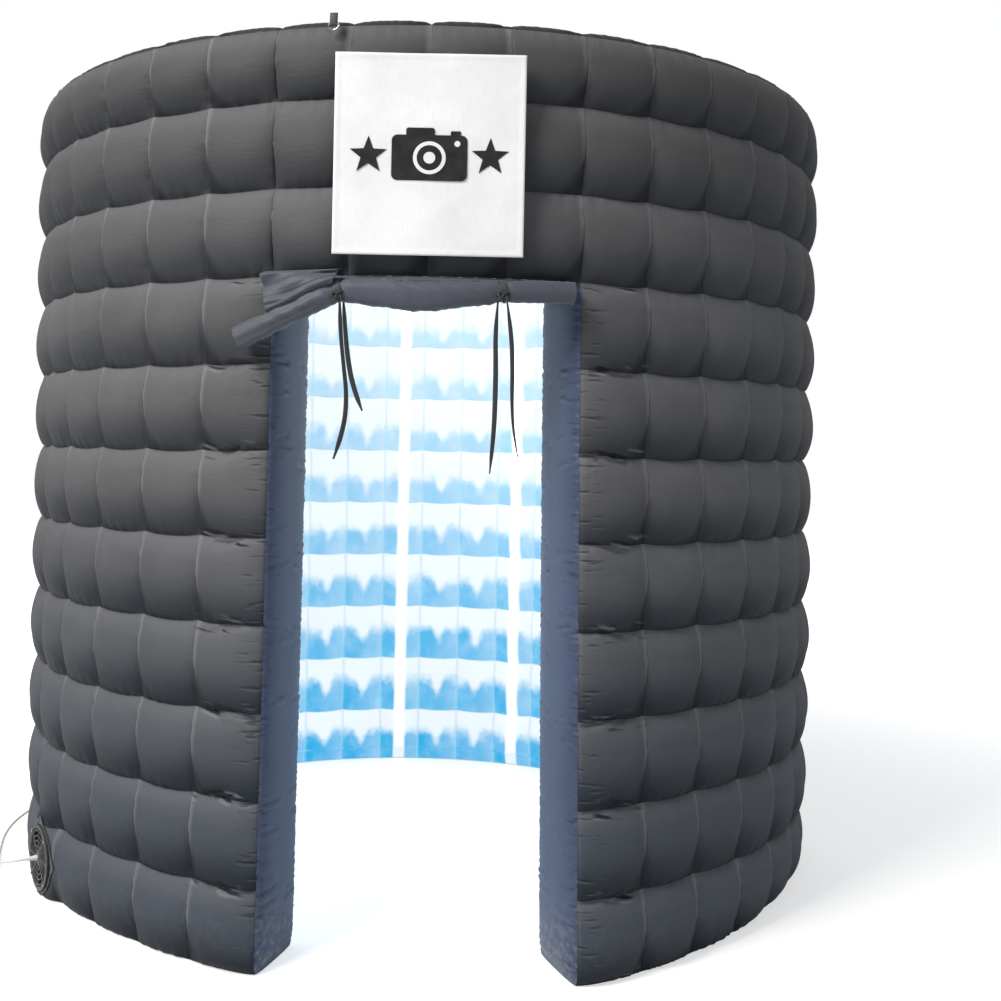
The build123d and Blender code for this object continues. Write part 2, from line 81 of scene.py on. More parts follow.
FOOT_SPREAD = (0.055, 0.026)
WORLD_UP = np.array([0.0, 0.0, 1.0])


def around(angle, radius, z):
    """Points at an angle from the doorway's middle, a distance from the axis and a height."""
    a = np.radians(angle)
    return np.stack(np.broadcast_arrays(radius * np.sin(a), -radius * np.cos(a), z), -1)


def smooth(x):
    x = np.clip(x, 0.0, 1.0)
    return x * x * (3.0 - 2.0 * x)


def bell(x, width):
    return np.exp(-(x / width) ** 2)


def eased(t):
    """Places from 0 to 1, drawn closer together towards both ends."""
    return 0.5 * t + 0.25 * (1 - np.cos(np.pi * t))


def dome(u, square, full):
    """A cushion's rise, 1 in the middle and 0 where u is 1 or -1."""
    return np.clip(1 - np.abs(u) ** square, 0, 1) ** full


def draws(seed, *shape):
    return np.random.default_rng(seed).random(shape)


def ripple(x, seed, shortest, longest, waves=7):
    """A wandering wave, about -1 to 1, whose wavelengths are spread between two lengths."""
    size, phase, share = draws(seed, 3, waves)
    length = shortest * (longest / shortest) ** size
    total = sum(
        (0.5 + s) * np.sin(2 * np.pi * x / w + 2 * np.pi * p)
        for w, p, s in zip(length, phase, share))
    return total / math.sqrt(waves)


# ---- Meshes ----

def link(name, data):
    obj = bpy.data.objects.new(name, data)
    bpy.context.scene.collection.objects.link(obj)
    return obj


def quads_of(number):
    """The quads between the rows and columns of a grid of corner numbers."""
    return np.stack([number[:-1, :-1], number[:-1, 1:], number[1:, 1:], number[1:, :-1]], -1)


def grid_object(name, points, uvs=None, wrap=False, drop=None):
    """A quad sheet through rows of points. drop says which quads are left out."""
    rows, across = points.shape[:2]
    number = np.arange(rows * across).reshape(rows, across)
    if wrap:
        number = np.concatenate([number, number[:, :1]], axis=1)
    quads = quads_of(number)
    if drop is not None:
        quads = quads[~drop]
    quads = quads.reshape(-1, 4)
    used = np.unique(quads)
    place = np.zeros(rows * across, int)
    place[used] = np.arange(len(used))
    mesh = bpy.data.meshes.new(name)
    mesh.from_pydata(points.reshape(-1, 3)[used], [], place[quads].tolist())
    for title, values in (uvs or {}).items():
        layer = mesh.uv_layers.new(name=title)
        layer.data.foreach_set("uv", values.reshape(-1, 2)[quads.ravel()].astype("f").ravel())
    mesh.polygons.foreach_set("use_smooth", np.ones(len(quads), bool))
    mesh.update()
    return link(name, mesh)


def swept_parts(line, section, side, cap=True, size=None):
    """Corners and faces of a closed section carried along a line. side gives its first axis."""
    line, section = np.asarray(line, float), np.asarray(section, float)
    ahead = np.gradient(line, axis=0)
    ahead /= np.linalg.norm(ahead, axis=1)[:, None]
    side = np.broadcast_to(side, line.shape)
    side = side - (side * ahead).sum(1)[:, None] * ahead
    side /= np.linalg.norm(side, axis=1)[:, None]
    out = np.cross(ahead, side)
    scale = np.ones(len(line)) if size is None else np.asarray(size)
    ring = (line[:, None] + scale[:, None, None] * (
        section[None, :, :1] * side[:, None] + section[None, :, 1:] * out[:, None]))
    n = len(section)
    faces = []
    for i in range(len(line) - 1):
        for j in range(n):
            k = (j + 1) % n
            faces.append((i * n + j, i * n + k, (i + 1) * n + k, (i + 1) * n + j))
    if cap:
        faces.append(tuple(range(n))[::-1])
        faces.append(tuple(range((len(line) - 1) * n, len(line) * n)))
    return ring.reshape(-1, 3), faces


def mesh_object(name, parts):
    """One object from a list of (corners, faces)."""
    corners, faces, start = [], [], 0
    for more, ring in parts:
        corners.append(np.asarray(more, float).reshape(-1, 3))
        faces += [tuple(int(i) + start for i in face) for face in ring]
        start += len(corners[-1])
    mesh = bpy.data.meshes.new(name)
    mesh.from_pydata(np.concatenate(corners), [], faces)
    mesh.polygons.foreach_set("use_smooth", np.ones(len(faces), bool))
    mesh.update()
    return link(name, mesh)


def circle(radius, steps, squash=1.0):
    a = np.arange(steps) / steps * 2 * np.pi
    return np.stack([radius * np.cos(a), squash * radius * np.sin(a)], -1)


def rounded_bar(width, thick, steps=3):
    """Section of a flat bar with round edges."""
    r = thick / 2
    ends = []
    for centre, first in ((width / 2 - r, -90), (-(width / 2 - r), 90)):
        for k in range(steps + 1):
            a = math.radians(first + 180 * k / steps)
            ends.append((centre + r * math.cos(a), r * math.sin(a)))
    return ends


def add_modifier(obj, kind, **settings):
    made = obj.modifiers.new(kind.title(), kind)
    for key, value in settings.items():
        setattr(made, key, value)
    return made


def route_curve(name, route):
    """A smooth curve that a route's points control."""
    data = bpy.data.curves.new(name, "CURVE")
    data.dimensions = "3D"
    spline = data.splines.new("NURBS")
    spline.points.add(len(route) - 1)
    for point, place in zip(spline.points, route):
        point.co = (*place, 1.0)
    spline.order_u = 3
    spline.use_endpoint_u = True
    return link(name, data)


def route_line(route, resolution=8):
    """The points along a route's smooth curve."""
    obj = route_curve("route", route)
    obj.data.resolution_u = resolution
    mesh = bpy.data.meshes.new_from_object(obj)
    line = np.array([v.co for v in mesh.vertices])
    bpy.data.meshes.remove(mesh)
    bpy.data.curves.remove(obj.data)
    return line


def finish_piece(obj, material, body="booth", replaces=()):
    obj.data.materials.clear()
    obj.data.materials.append(bpy.data.materials[material])
    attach(obj, body)
    if replaces:
        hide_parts(*replaces)
    return obj


def padded_piece(obj, material, name):
    finish_piece(obj, material, replaces=[name])


# ---- Node trees ----

class Wiring:
    """Short calls for making and joining the nodes of one tree."""

    def __init__(self, tree):
        self.tree = tree

    def node(self, kind, **settings):
        made = self.tree.nodes.new(kind)
        for key, value in settings.items():
            setattr(made, key, value)
        return made

    def feed(self, socket, value):
        if isinstance(value, bpy.types.NodeSocket):
            self.tree.links.new(value, socket)
        elif value is not None:
            if isinstance(value, tuple) and len(value) == 3 and socket.type == "RGBA":
                value = (*value, 1.0)
            socket.default_value = value

    def math(self, operation, *values, clamp=False):
        made = self.node("ShaderNodeMath", operation=operation, use_clamp=clamp)
        for socket, value in zip(made.inputs, values):
            self.feed(socket, value)
        return made.outputs[0]

    def times(self, first, second):
        return self.math("MULTIPLY", first, second)

    def plus(self, first, second, clamp=False):
        return self.math("ADD", first, second, clamp=clamp)

    def minus(self, first, second):
        return self.math("SUBTRACT", first, second)

    def size(self, value):
        return self.math("ABSOLUTE", value)

    def vector(self, operation, *values):
        made = self.node("ShaderNodeVectorMath", operation=operation)
        for socket, value in zip(made.inputs, values):
            self.feed(socket, value)
        return made.outputs[0]

    def mix(self, factor, first, second):
        made = self.node("ShaderNodeMix", data_type="RGBA", blend_type="MIX")
        self.feed(made.inputs[0], factor)
        self.feed(made.inputs[6], first)
        self.feed(made.inputs[7], second)
        return made.outputs[2]

    def span(self, value, low, high, to_low=0.0, to_high=1.0):
        made = self.node("ShaderNodeMapRange", interpolation_type="SMOOTHSTEP")
        for socket, given in zip(made.inputs, (value, low, high, to_low, to_high)):
            self.feed(socket, given)
        return made.outputs[0]

    def noise(self, vector, scale, detail=3.0, roughness=0.5):
        made = self.node("ShaderNodeTexNoise")
        self.feed(made.inputs["Vector"], vector)
        self.feed(made.inputs["Scale"], scale)
        self.feed(made.inputs["Detail"], detail)
        self.feed(made.inputs["Roughness"], roughness)
        return made.outputs["Fac"]

    def split(self, vector):
        made = self.node("ShaderNodeSeparateXYZ")
        self.feed(made.inputs[0], vector)
        return made.outputs[0], made.outputs[1], made.outputs[2]

    def join(self, x, y, z=0.0):
        made = self.node("ShaderNodeCombineXYZ")
        for socket, value in zip(made.inputs, (x, y, z)):
            self.feed(socket, value)
        return made.outputs[0]

    def uv(self, title):
        return self.node("ShaderNodeUVMap", uv_map=title).outputs[0]

    def place(self):
        return self.node("ShaderNodeTexCoord").outputs["Object"]

    def group(self, name, **values):
        made = self.node("ShaderNodeGroup", node_tree=bpy.data.node_groups[name])
        for key, value in values.items():
            self.feed(made.inputs[key.replace("_", " ").title()], value)
        return made.outputs


def new_group(name, inputs, outputs):
    tree = bpy.data.node_groups.new(name, "ShaderNodeTree")
    for title, kind, value in inputs:
        made = tree.interface.new_socket(name=title, in_out="INPUT", socket_type=kind)
        if value is not None:
            made.default_value = value
    for title, kind in outputs:
        tree.interface.new_socket(name=title, in_out="OUTPUT", socket_type=kind)
    w = Wiring(tree)
    return w, w.node("NodeGroupInput").outputs, w.node("NodeGroupOutput").inputs


FLOAT, VECTOR = "NodeSocketFloat", "NodeSocketVector"


def make_groups():
    w, i, o = new_group(
        "plain_weave",
        [("Place", VECTOR, None), ("Pitch", FLOAT, 0.001)],
        [("Height", FLOAT), ("Shade", FLOAT)])
    wobble = w.noise(i["Place"], 180.0, 2.0)
    x, y, _ = w.split(i["Place"])
    turns = w.math("DIVIDE", 2 * math.pi, i["Pitch"])
    shift = w.times(wobble, 2.4)
    warp = w.math("SINE", w.plus(w.times(x, turns), shift))
    weft = w.math("SINE", w.plus(w.times(y, turns), shift))
    over = w.times(warp, weft)
    height = w.math("MULTIPLY_ADD", over, 0.5, 0.5)
    w.feed(o["Height"], height)
    streaks = w.noise(w.vector("MULTIPLY", i["Place"], (260.0, 30.0, 1.0)), 1.0, 2.0)
    w.feed(o["Shade"], w.plus(w.times(height, 0.35),
                              w.times(streaks, 0.65)))

    w, i, o = new_group(
        "soft_creases",
        [("Place", VECTOR, None), ("Scale", FLOAT, 18.0), ("Stretch", FLOAT, 3.0)],
        [("Height", FLOAT)])
    long_way = w.vector("MULTIPLY", i["Place"], w.join(1.0, i["Stretch"], 1.0))
    first = w.noise(long_way, i["Scale"], 3.0, 0.55)
    fold = w.size(w.minus(first, 0.5))
    second = w.noise(i["Place"], w.times(i["Scale"], 2.7), 3.0, 0.5)
    w.feed(o["Height"], w.plus(w.times(fold, -2.2),
                               w.times(second, 0.5)))

    # Short level folds, drawn as painted shade with a painted highlight on a lip beside them: the
    # thinner and the longer the stretch, the more like slits.
    w, i, o = new_group(
        "painted_short_folds",
        [("Place", VECTOR, None), ("Where", FLOAT, 1.0), ("Least", FLOAT, 0.6)],
        [("Mask", FLOAT), ("Lip Highlight", FLOAT)])
    fold = w.noise(i["Place"], 1.0, 2.0, 0.45)
    above = w.noise(w.vector("ADD", i["Place"], (0.0, 0.45, 0.0)), 1.0, 2.0, 0.45)
    most = w.plus(i["Least"], 0.07)
    w.feed(o["Mask"], w.times(w.span(fold, i["Least"], most), i["Where"]))
    w.feed(o["Lip Highlight"], w.times(w.span(above, i["Least"], most), i["Where"]))

    w, i, o = new_group(
        "seam_work",
        [("Across", FLOAT, 0.0), ("Along", FLOAT, 0.0), ("Stitch", FLOAT, 0.0042),
         ("Reach", FLOAT, 0.02)],
        [("Thread", FLOAT), ("Height", FLOAT), ("Seam Shade", FLOAT)])
    far = w.size(i["Across"])
    line = w.span(w.size(w.minus(far, 0.0042)), 0.0007, 0.0013, 1.0, 0.0)
    dash = w.math("FRACT", w.math("DIVIDE", i["Along"], i["Stitch"]))
    dash = w.span(w.size(w.minus(dash, 0.5)), 0.3, 0.38, 1.0, 0.0)
    thread = w.times(line, dash)
    w.feed(o["Thread"], thread)
    lane = w.join(w.times(i["Along"], 95.0), w.times(i["Across"], 9.0))
    gather = w.noise(lane, 1.0, 2.5, 0.6)
    fade = w.math("POWER", 2.718, w.math("DIVIDE", w.times(far, -1.0), i["Reach"]))
    w.feed(o["Height"], w.plus(w.times(w.times(gather, fade), 2.4),
                               w.times(thread, 0.35)))
    w.feed(o["Seam Shade"], fade)

    w, i, o = new_group(
        "wear_and_dust",
        [("Place", VECTOR, None), ("Dust Height", FLOAT, 0.25)],
        [("Blotch", FLOAT), ("Dust", FLOAT), ("Scuff", FLOAT)])
    _, _, up = w.split(i["Place"])
    w.feed(o["Blotch"], w.span(w.noise(i["Place"], 2.6, 4.0, 0.6), 0.3, 0.7))
    low = w.span(up, 0.0, i["Dust Height"], 1.0, 0.0)
    specks = w.noise(i["Place"], 55.0, 4.0, 0.7)
    w.feed(o["Dust"], w.times(low, w.span(specks, 0.42, 0.7)))
    w.feed(o["Scuff"], w.span(w.noise(w.vector("MULTIPLY", i["Place"], (1.0, 1.0, 6.0)), 14.0, 5.0,
                                      0.7), 0.62, 0.8))

    w, i, o = new_group(
        "moulded_grain",
        [("Place", VECTOR, None), ("Scale", FLOAT, 900.0)],
        [("Height", FLOAT), ("Rough", FLOAT)])
    fine = w.noise(i["Place"], i["Scale"], 2.0, 0.6)
    worn = w.noise(i["Place"], 35.0, 4.0, 0.6)
    w.feed(o["Height"], fine)
    w.feed(o["Rough"], w.span(worn, 0.25, 0.75, 0.32, 0.55))

    w, i, o = new_group(
        "brushed_metal",
        [("Place", VECTOR, None), ("Way", VECTOR, (1.0, 1.0, 40.0))],
        [("Height", FLOAT), ("Rough", FLOAT), ("Tone", FLOAT)])
    lines = w.noise(w.vector("MULTIPLY", i["Place"], i["Way"]), 60.0, 4.0, 0.6)
    stain = w.noise(i["Place"], 70.0, 3.0, 0.6)
    w.feed(o["Height"], lines)
    w.feed(o["Rough"], w.span(lines, 0.2, 0.8, 0.22, 0.45))
    w.feed(o["Tone"], w.span(stain, 0.3, 0.75))


def new_material(name):
    made = bpy.data.materials.new(name)
    made.use_nodes = True
    w = Wiring(made.node_tree)
    shader = made.node_tree.nodes["Principled BSDF"]
    return w, shader.inputs


def bump(w, shader, height, strength=0.5, distance=0.001):
    made = w.node("ShaderNodeBump")
    made.inputs["Strength"].default_value = strength
    made.inputs["Distance"].default_value = distance
    w.feed(made.inputs["Height"], height)
    w.feed(shader["Normal"], made.outputs[0])


def shaded(colour, factor):
    return tuple(min(1.0, c * factor) for c in colour)


def cloth_base(w, place, colour, pitch, dust=(0.30, 0.29, 0.27)):
    """Colour of a woven cloth, and the height of its weave and small creases."""
    weave = w.group("plain_weave", place=place, pitch=pitch)
    wear = w.group("wear_and_dust", place=w.place())
    tone = w.mix(wear["Blotch"], shaded(colour, 0.86), shaded(colour, 1.14))
    tone = w.mix(w.times(weave["Shade"], 0.5), tone, shaded(colour, 0.62))
    tone = w.mix(w.times(wear["Scuff"], 0.18), tone, shaded(colour, 1.9))
    tone = w.mix(w.times(wear["Dust"], 0.5), tone, dust)
    creases = w.group("soft_creases", place=place)
    height = w.plus(w.times(weave["Height"], 0.12),
                    w.times(creases["Height"], 1.1))
    return tone, height


def cloth_material(name, colour, pitch=0.0011, roughness=0.62, sheen=0.25, strength=0.5,
                   object_place=False):
    w, shader = new_material(name)
    place = w.place() if object_place else w.uv("cloth")
    tone, height = cloth_base(w, place, colour, pitch)
    w.feed(shader["Base Color"], tone)
    shader["Roughness"].default_value = roughness
    shader["Sheen Weight"].default_value = sheen
    shader["Sheen Roughness"].default_value = 0.5
    bump(w, shader, height, strength, 0.0012)


def cloth_x(w):
    return w.split(w.uv("cloth"))[0]


def jamb_material(name, colour):
    """Cloth of the wall's ends, with short level folds along both of its corners, drawn as painted
    shade with painted highlights on their lips.
    """
    w, shader = new_material(name)
    cloth = w.uv("cloth")
    tone, height = cloth_base(w, cloth, colour, 0.0011)
    across = w.size(w.minus(cloth_x(w), JAMB_W / 2))
    corners = w.span(across, 0.045, 0.075)
    ticks = w.group("painted_short_folds", least=0.60, where=corners,
                    place=w.vector("MULTIPLY", cloth, (15.0, 90.0, 1.0)))
    slits = w.group("painted_short_folds", least=0.66, where=1.0,
                    place=w.vector("MULTIPLY", cloth, (9.0, 44.0, 1.0)))
    # Painted shade in the folds and slits, and a painted highlight on the slits' lips.
    fold_shade = w.math("MAXIMUM", w.times(ticks["Mask"], 0.45),
                  w.times(slits["Mask"], 0.7))
    tone = w.mix(w.times(slits["Lip Highlight"], 0.3), tone, shaded(colour, 2.0))
    tone = w.mix(fold_shade, tone, shaded(colour, 0.12))
    w.feed(shader["Base Color"], tone)
    shader["Roughness"].default_value = 0.5
    shader["Specular IOR Level"].default_value = 0.3
    shader["Sheen Weight"].default_value = 0.1
    bump(w, shader, height, 0.5, 0.0012)


def seam_distances(w):
    """How far a point of the quilted wall is from its level and upright seams, and along them."""
    column, row, _ = w.split(w.uv("quilt"))
    along_level, along_upright, _ = w.split(w.uv("cloth"))
    off_column = w.minus(w.math("FRACT", w.plus(column, 0.5)), 0.5)
    off_row = w.minus(w.math("FRACT", w.plus(row, 0.5)), 0.5)
    return (w.times(off_row, ROW_PITCH), along_level,
            w.times(off_column, OUTER_CELL_W), along_upright)


def quilted_material(name, colour, foot_shade_tint, head_shade_tint, roughness=0.55):
    """Wall cloth with gathers and stitches along its seams, and painted shade and highlights on its
    cells, seams and folds.
    """
    w, shader = new_material(name)
    tone, height = cloth_base(w, w.uv("cloth"), colour, 0.0011)
    row_off, row_along, column_off, column_along = seam_distances(w)
    level = w.group("seam_work", across=row_off, along=row_along, reach=0.028)
    upright = w.group("seam_work", across=column_off, along=column_along, reach=0.012)
    _, _, up = w.split(w.place())
    # Painted shade: darker and bluer towards the floor, darker and warmer towards the top.
    tone = w.mix(w.span(up, 0.1, 1.3, 0.75, 0.0), tone, foot_shade_tint)
    tone = w.mix(w.span(up, 1.5, 2.3, 0.0, 0.8), tone, head_shade_tint)
    thread = w.plus(level["Thread"], upright["Thread"], clamp=True)
    tone = w.mix(w.times(thread, 0.18), tone, shaded(colour, 1.7))
    # Painted shade along the level and upright seams.
    seam_shade = w.math("MAXIMUM", w.span(level["Seam Shade"], 0.75, 1.0), w.span(upright["Seam Shade"], 0.8, 1.0))
    tone = w.mix(w.times(seam_shade, 0.45), tone, shaded(colour, 0.35))
    column, row, _ = w.split(w.uv("quilt"))
    rise = w.math("FRACT", row)
    # Each cell is drawn in most at the foot of its side away from the doorway; a painted shade
    # darkens that corner, and a painted highlight lights the rim along that side.
    left_half = w.math("GREATER_THAN", column, COLUMNS / 2)
    within = w.math("FRACT", column)
    far_side = w.size(w.minus(w.minus(1.0, left_half), within))
    reach = w.math("MULTIPLY_ADD", far_side, 2.3, w.times(rise, 2.1))
    corner_shade = w.span(reach, 0.45, 0.98, 1.0, 0.0)
    # Painted highlight along the rim of each cell's side away from the doorway.
    rim = w.times(w.span(far_side, 0.02, 0.10, 1.0, 0.0), w.span(rise, 0.34, 0.6))
    # Painted shade over the lower part of every cell.
    cell_foot_shade = w.times(w.span(rise, -0.02, 0.66, 1.0, 0.0), w.span(up, 0.2, 2.2, 0.97, 0.66))
    tone = w.mix(cell_foot_shade, tone, (0.010, 0.015, 0.023))
    tone = w.mix(w.times(corner_shade, 0.72), tone, (0.005, 0.007, 0.011))
    # Painted highlight on the upper part of every cell.
    tone = w.mix(w.span(rise, 0.62, 0.97, 0.0, 0.22), tone, shaded(colour, 2.0))
    tone = w.mix(w.times(rim, 0.34), tone, shaded(colour, 2.4))
    half = COLUMNS / 2
    to_door = w.minus(half, w.size(w.minus(column, half)))
    beside_door = w.times(w.span(to_door, -0.02, 0.0),
                         w.span(row, SOFFIT_ROW - 0.04, SOFFIT_ROW, 1.0, 0.0))
    ticks = w.group(
        "painted_short_folds", least=0.60, place=w.vector("MULTIPLY", w.uv("cloth"), (13.0, 95.0, 1.0)),
        where=w.times(beside_door, w.span(to_door, 0.10, 0.42, 1.0, 0.0)))
    off_seam = w.size(row_off)
    slits = w.group(
        "painted_short_folds", least=0.58,
        place=w.vector("MULTIPLY", w.vector("ADD", w.uv("cloth"), w.join(
            0.0, w.times(cloth_x(w), 0.16))), (9.0, 52.0, 1.0)),
        where=w.times(w.times(beside_door, w.span(off_seam, 0.016, 0.028, 1.0, 0.0)),
                     w.times(w.span(to_door, 0.10, 0.25), w.span(to_door, 0.85, 1.1, 1.0, 0.0))))
    # Painted shade in the folds and slits beside the doorway, and a painted highlight on their
    # lips.
    fold_shade = w.math("MAXIMUM", w.times(ticks["Mask"], 0.6), w.times(slits["Mask"], 0.9))
    lip = w.math("MAXIMUM", w.times(ticks["Lip Highlight"], 0.15), w.times(slits["Lip Highlight"], 0.4))
    tone = w.mix(lip, tone, shaded(colour, 2.2))
    tone = w.mix(fold_shade, tone, (0.004, 0.005, 0.009))
    w.feed(shader["Base Color"], tone)
    shader["Roughness"].default_value = roughness
    shader["Specular IOR Level"].default_value = 0.16
    shader["Sheen Weight"].default_value = 0.05
    height = w.plus(height, w.times(level["Height"], 1.5))
    height = w.plus(height, w.times(upright["Height"], 0.8))
    bump(w, shader, height, 0.55, 0.0016)


def lining_material(name, white, cyan, glow):
    """White lining, its light from the strips painted on as its own glow: white above, whiter
    beside the strips, and a blue painted shade glowing on the lower part of every cell.
    """
    w, shader = new_material(name)
    column, row, _ = w.split(w.uv("quilt"))
    cloth = w.uv("cloth")
    rise = w.math("FRACT", row)
    sway = w.minus(w.times(w.math("FRACT", column), 2.0), 1.0)
    level = w.math("FLOOR", row)
    rough = w.noise(cloth, 9.0, 4.0, 0.6)
    wander = w.times(w.minus(w.noise(cloth, 11.0, 3.0, 0.5), 0.5), 0.16)
    dip = w.span(w.size(sway), 0.0, 0.45, 0.20, 0.0)
    edge = w.minus(w.span(level, 0.0, 10.0, 0.56, 0.26), dip)
    edge = w.plus(edge, w.times(w.minus(rough, 0.5), 0.5))
    band = w.span(w.minus(rise, edge), -0.13, 0.16, 1.0, 0.0)
    deep = w.span(level, 0.0, 9.0, 0.98, 0.42)
    patch = w.times(w.span(rough, 0.3, 0.62, 0.80, 1.0), w.span(sway, -1.0, 0.6, 0.78, 1.0))
    blue_shade = w.times(w.times(band, deep), patch)
    # Painted light: the lower part of each cell takes the blue of its painted shade.
    light = w.mix(blue_shade, white, cyan)
    # Painted shade and light along the upright seams.
    seam = w.span(w.plus(w.size(sway), wander), 0.885, 0.985)
    light = w.mix(w.times(seam, w.span(band, 0.0, 1.0, 0.34, 0.05)), light, (0.40, 0.52, 0.74))
    light = w.mix(w.times(seam, w.times(band, 0.35)), light, (0.40, 0.82, 1.0))
    # Painted light, whiter beside each strip.
    third = w.math("DIVIDE", w.minus(column, 0.5), 3.0)
    from_strip = w.size(w.minus(w.math("FRACT", w.plus(third, 0.5)), 0.5))
    light = w.mix(w.span(from_strip, 0.040, 0.060, 1.0, 0.0), light, (1.0, 1.0, 1.0))
    # Painted shade along the level seams.
    low_seam = w.span(w.size(w.minus(rise, 0.5)), 0.472, 0.5)
    light = w.mix(w.times(low_seam, 0.4), light, (0.30, 0.62, 0.80))
    tone, height = cloth_base(w, cloth, (0.20, 0.24, 0.27), 0.0011, (0.2, 0.2, 0.2))
    row_off, row_along, column_off, column_along = seam_distances(w)
    rows = w.group("seam_work", across=row_off, along=row_along, reach=0.028)
    uprights = w.group("seam_work", across=column_off, along=column_along, reach=0.012)
    # The base colour too turns blue in the painted shade.
    w.feed(shader["Base Color"], w.mix(blue_shade, tone, (0.015, 0.150, 0.220)))
    shader["Roughness"].default_value = 0.6
    w.feed(shader["Emission Color"], light)
    shader["Emission Strength"].default_value = glow
    height = w.plus(height, w.times(rows["Height"], 1.5))
    height = w.plus(height, w.times(uprights["Height"], 0.8))
    bump(w, shader, height, 0.5, 0.0014)


def strip_material(name, colour, glow):
    w, shader = new_material(name)
    _, _, up = w.split(w.place())
    spot = w.size(w.minus(w.math("FRACT", w.times(up, 60.0)), 0.5))
    light = w.mix(w.span(spot, 0.15, 0.5), colour, shaded(colour, 0.86))
    w.feed(shader["Emission Color"], light)
    shader["Base Color"].default_value = (0.85, 0.87, 0.88, 1.0)
    shader["Emission Strength"].default_value = glow
    shader["Roughness"].default_value = 0.35
    grain = w.group("moulded_grain", place=w.place(), scale=700.0)
    bump(w, shader, grain["Height"], 0.2, 0.0003)


def plastic_material(name, colour, scale=900.0, coat=0.0):
    w, shader = new_material(name)
    grain = w.group("moulded_grain", place=w.place(), scale=scale)
    wear = w.group("wear_and_dust", place=w.place(), dust_height=0.2)
    tone = w.mix(wear["Blotch"], shaded(colour, 0.85), shaded(colour, 1.2))
    tone = w.mix(w.times(wear["Dust"], 0.35), tone, (0.35, 0.34, 0.32))
    w.feed(shader["Base Color"], tone)
    w.feed(shader["Roughness"], grain["Rough"])
    shader["Coat Weight"].default_value = coat
    bump(w, shader, grain["Height"], 0.25, 0.0003)


def metal_material(name, colour, way=(1.0, 1.0, 40.0)):
    w, shader = new_material(name)
    finish = w.group("brushed_metal", place=w.place(), way=way)
    w.feed(shader["Base Color"], w.mix(finish["Tone"], shaded(colour, 0.8), colour))
    w.feed(shader["Roughness"], finish["Rough"])
    shader["Metallic"].default_value = 1.0
    bump(w, shader, finish["Height"], 0.15, 0.0002)


def board_material(name):
    w, shader = new_material(name)
    x, _, z = w.split(w.place())
    tracks = w.math("FRACT", w.times(w.plus(x, z), 220.0))
    w.feed(shader["Base Color"], w.mix(w.span(tracks, 0.4, 0.5), (0.01, 0.12, 0.05),
                                       (0.02, 0.2, 0.09)))
    shader["Roughness"].default_value = 0.4
    bump(w, shader, tracks, 0.1, 0.0002)


def make_materials(context):
    c = context.scene.booth_colours
    make_groups()
    quilted_material("wall_cloth", tuple(c.wall), tuple(c.wall_foot_shade), tuple(c.wall_head_shade))
    lining_material("lining_cloth", tuple(c.lining), tuple(c.glow), c.lining_glow)
    jamb_material("jamb_cloth", tuple(c.jamb))
    cloth_material("curtain_cloth", tuple(c.curtain), roughness=0.6, sheen=0.2)
    cloth_material("web_cloth", (0.25, 0.25, 0.26), roughness=0.7)
    cloth_material("patch_cloth", shaded(tuple(c.curtain), 0.8), roughness=0.5)
    cloth_material("banner_cloth", tuple(c.banner), pitch=0.0007, roughness=0.55, sheen=0.05,
                   strength=0.15)
    cloth_material("tape_cloth", (0.035, 0.036, 0.04), pitch=0.0018, object_place=True)
    plastic_material("black_plastic", (0.022, 0.023, 0.025))
    # A paler, greener black: partly the plastic's colour, partly a painted reflection on the
    # guard's rings.
    plastic_material("guard_plastic", (0.075, 0.082, 0.075))
    plastic_material("print_black", (0.012, 0.012, 0.013), 600.0)
    plastic_material("white_cable", (0.78, 0.79, 0.80), 500.0)
    plastic_material("black_cable", (0.03, 0.03, 0.032), 500.0)
    metal_material("steel", (0.72, 0.72, 0.73))
    metal_material("brass", (0.75, 0.58, 0.28))
    metal_material("motor_metal", (0.40, 0.41, 0.42))
    board_material("board")
    strip_material("lit_strip", (1.0, 1.0, 1.0), c.strip_glow)


# ---- The quilted wall ----

def crowded(cells, steps):
    """Places along a run of cells, closer together beside the seams."""
    t = eased(np.arange(steps) / steps)
    return np.append((np.arange(cells)[:, None] + t).ravel(), float(cells))


def row_height(row):
    return np.interp(row, np.arange(ROWS + 1), ROW_LEVELS)


def door_nearness(c):
    """Columns from the nearer edge of the doorway: negative over the doorway."""
    return np.minimum(c, COLUMNS - c)


def pillow(c, row, seed):
    """How full a cell is at a point, from 0 at its level seams to about 1."""
    cell = np.floor(c).astype(int), np.clip(np.floor(row).astype(int), 0, ROWS - 1)
    u = 2 * (c - np.floor(c)) - 1
    w = 2 * (row - np.floor(row)) - 1
    w = w + 0.12 * (1 - w * w)
    level = dome(w, 2.0, 0.66)
    upright = 1 - dome(u, 2.2, 0.62)
    grip = 0.40 + 0.56 * smooth((0.45 - w) / 1.2)
    chance = draws(seed, 48, ROWS)[cell[0] + 6, cell[1]]
    full = 1 + 0.14 * (chance - 0.5) * (1 - u * u) * (1 - w * w)
    away = smooth(0.5 + 0.8 * np.where(c < COLUMNS / 2, u, -u))
    pinch = bell(1 - np.abs(u), 0.26) * np.exp(-(w + 1) / 0.5) * (0.35 + 0.65 * away)
    fold = bell(1 - np.abs(u) - 0.34 * (w + 1), 0.06) * np.exp(-(w + 1) / 0.5)
    return level * (1 - grip * upright) * full - level * (0.34 * pinch + 0.12 * fold)


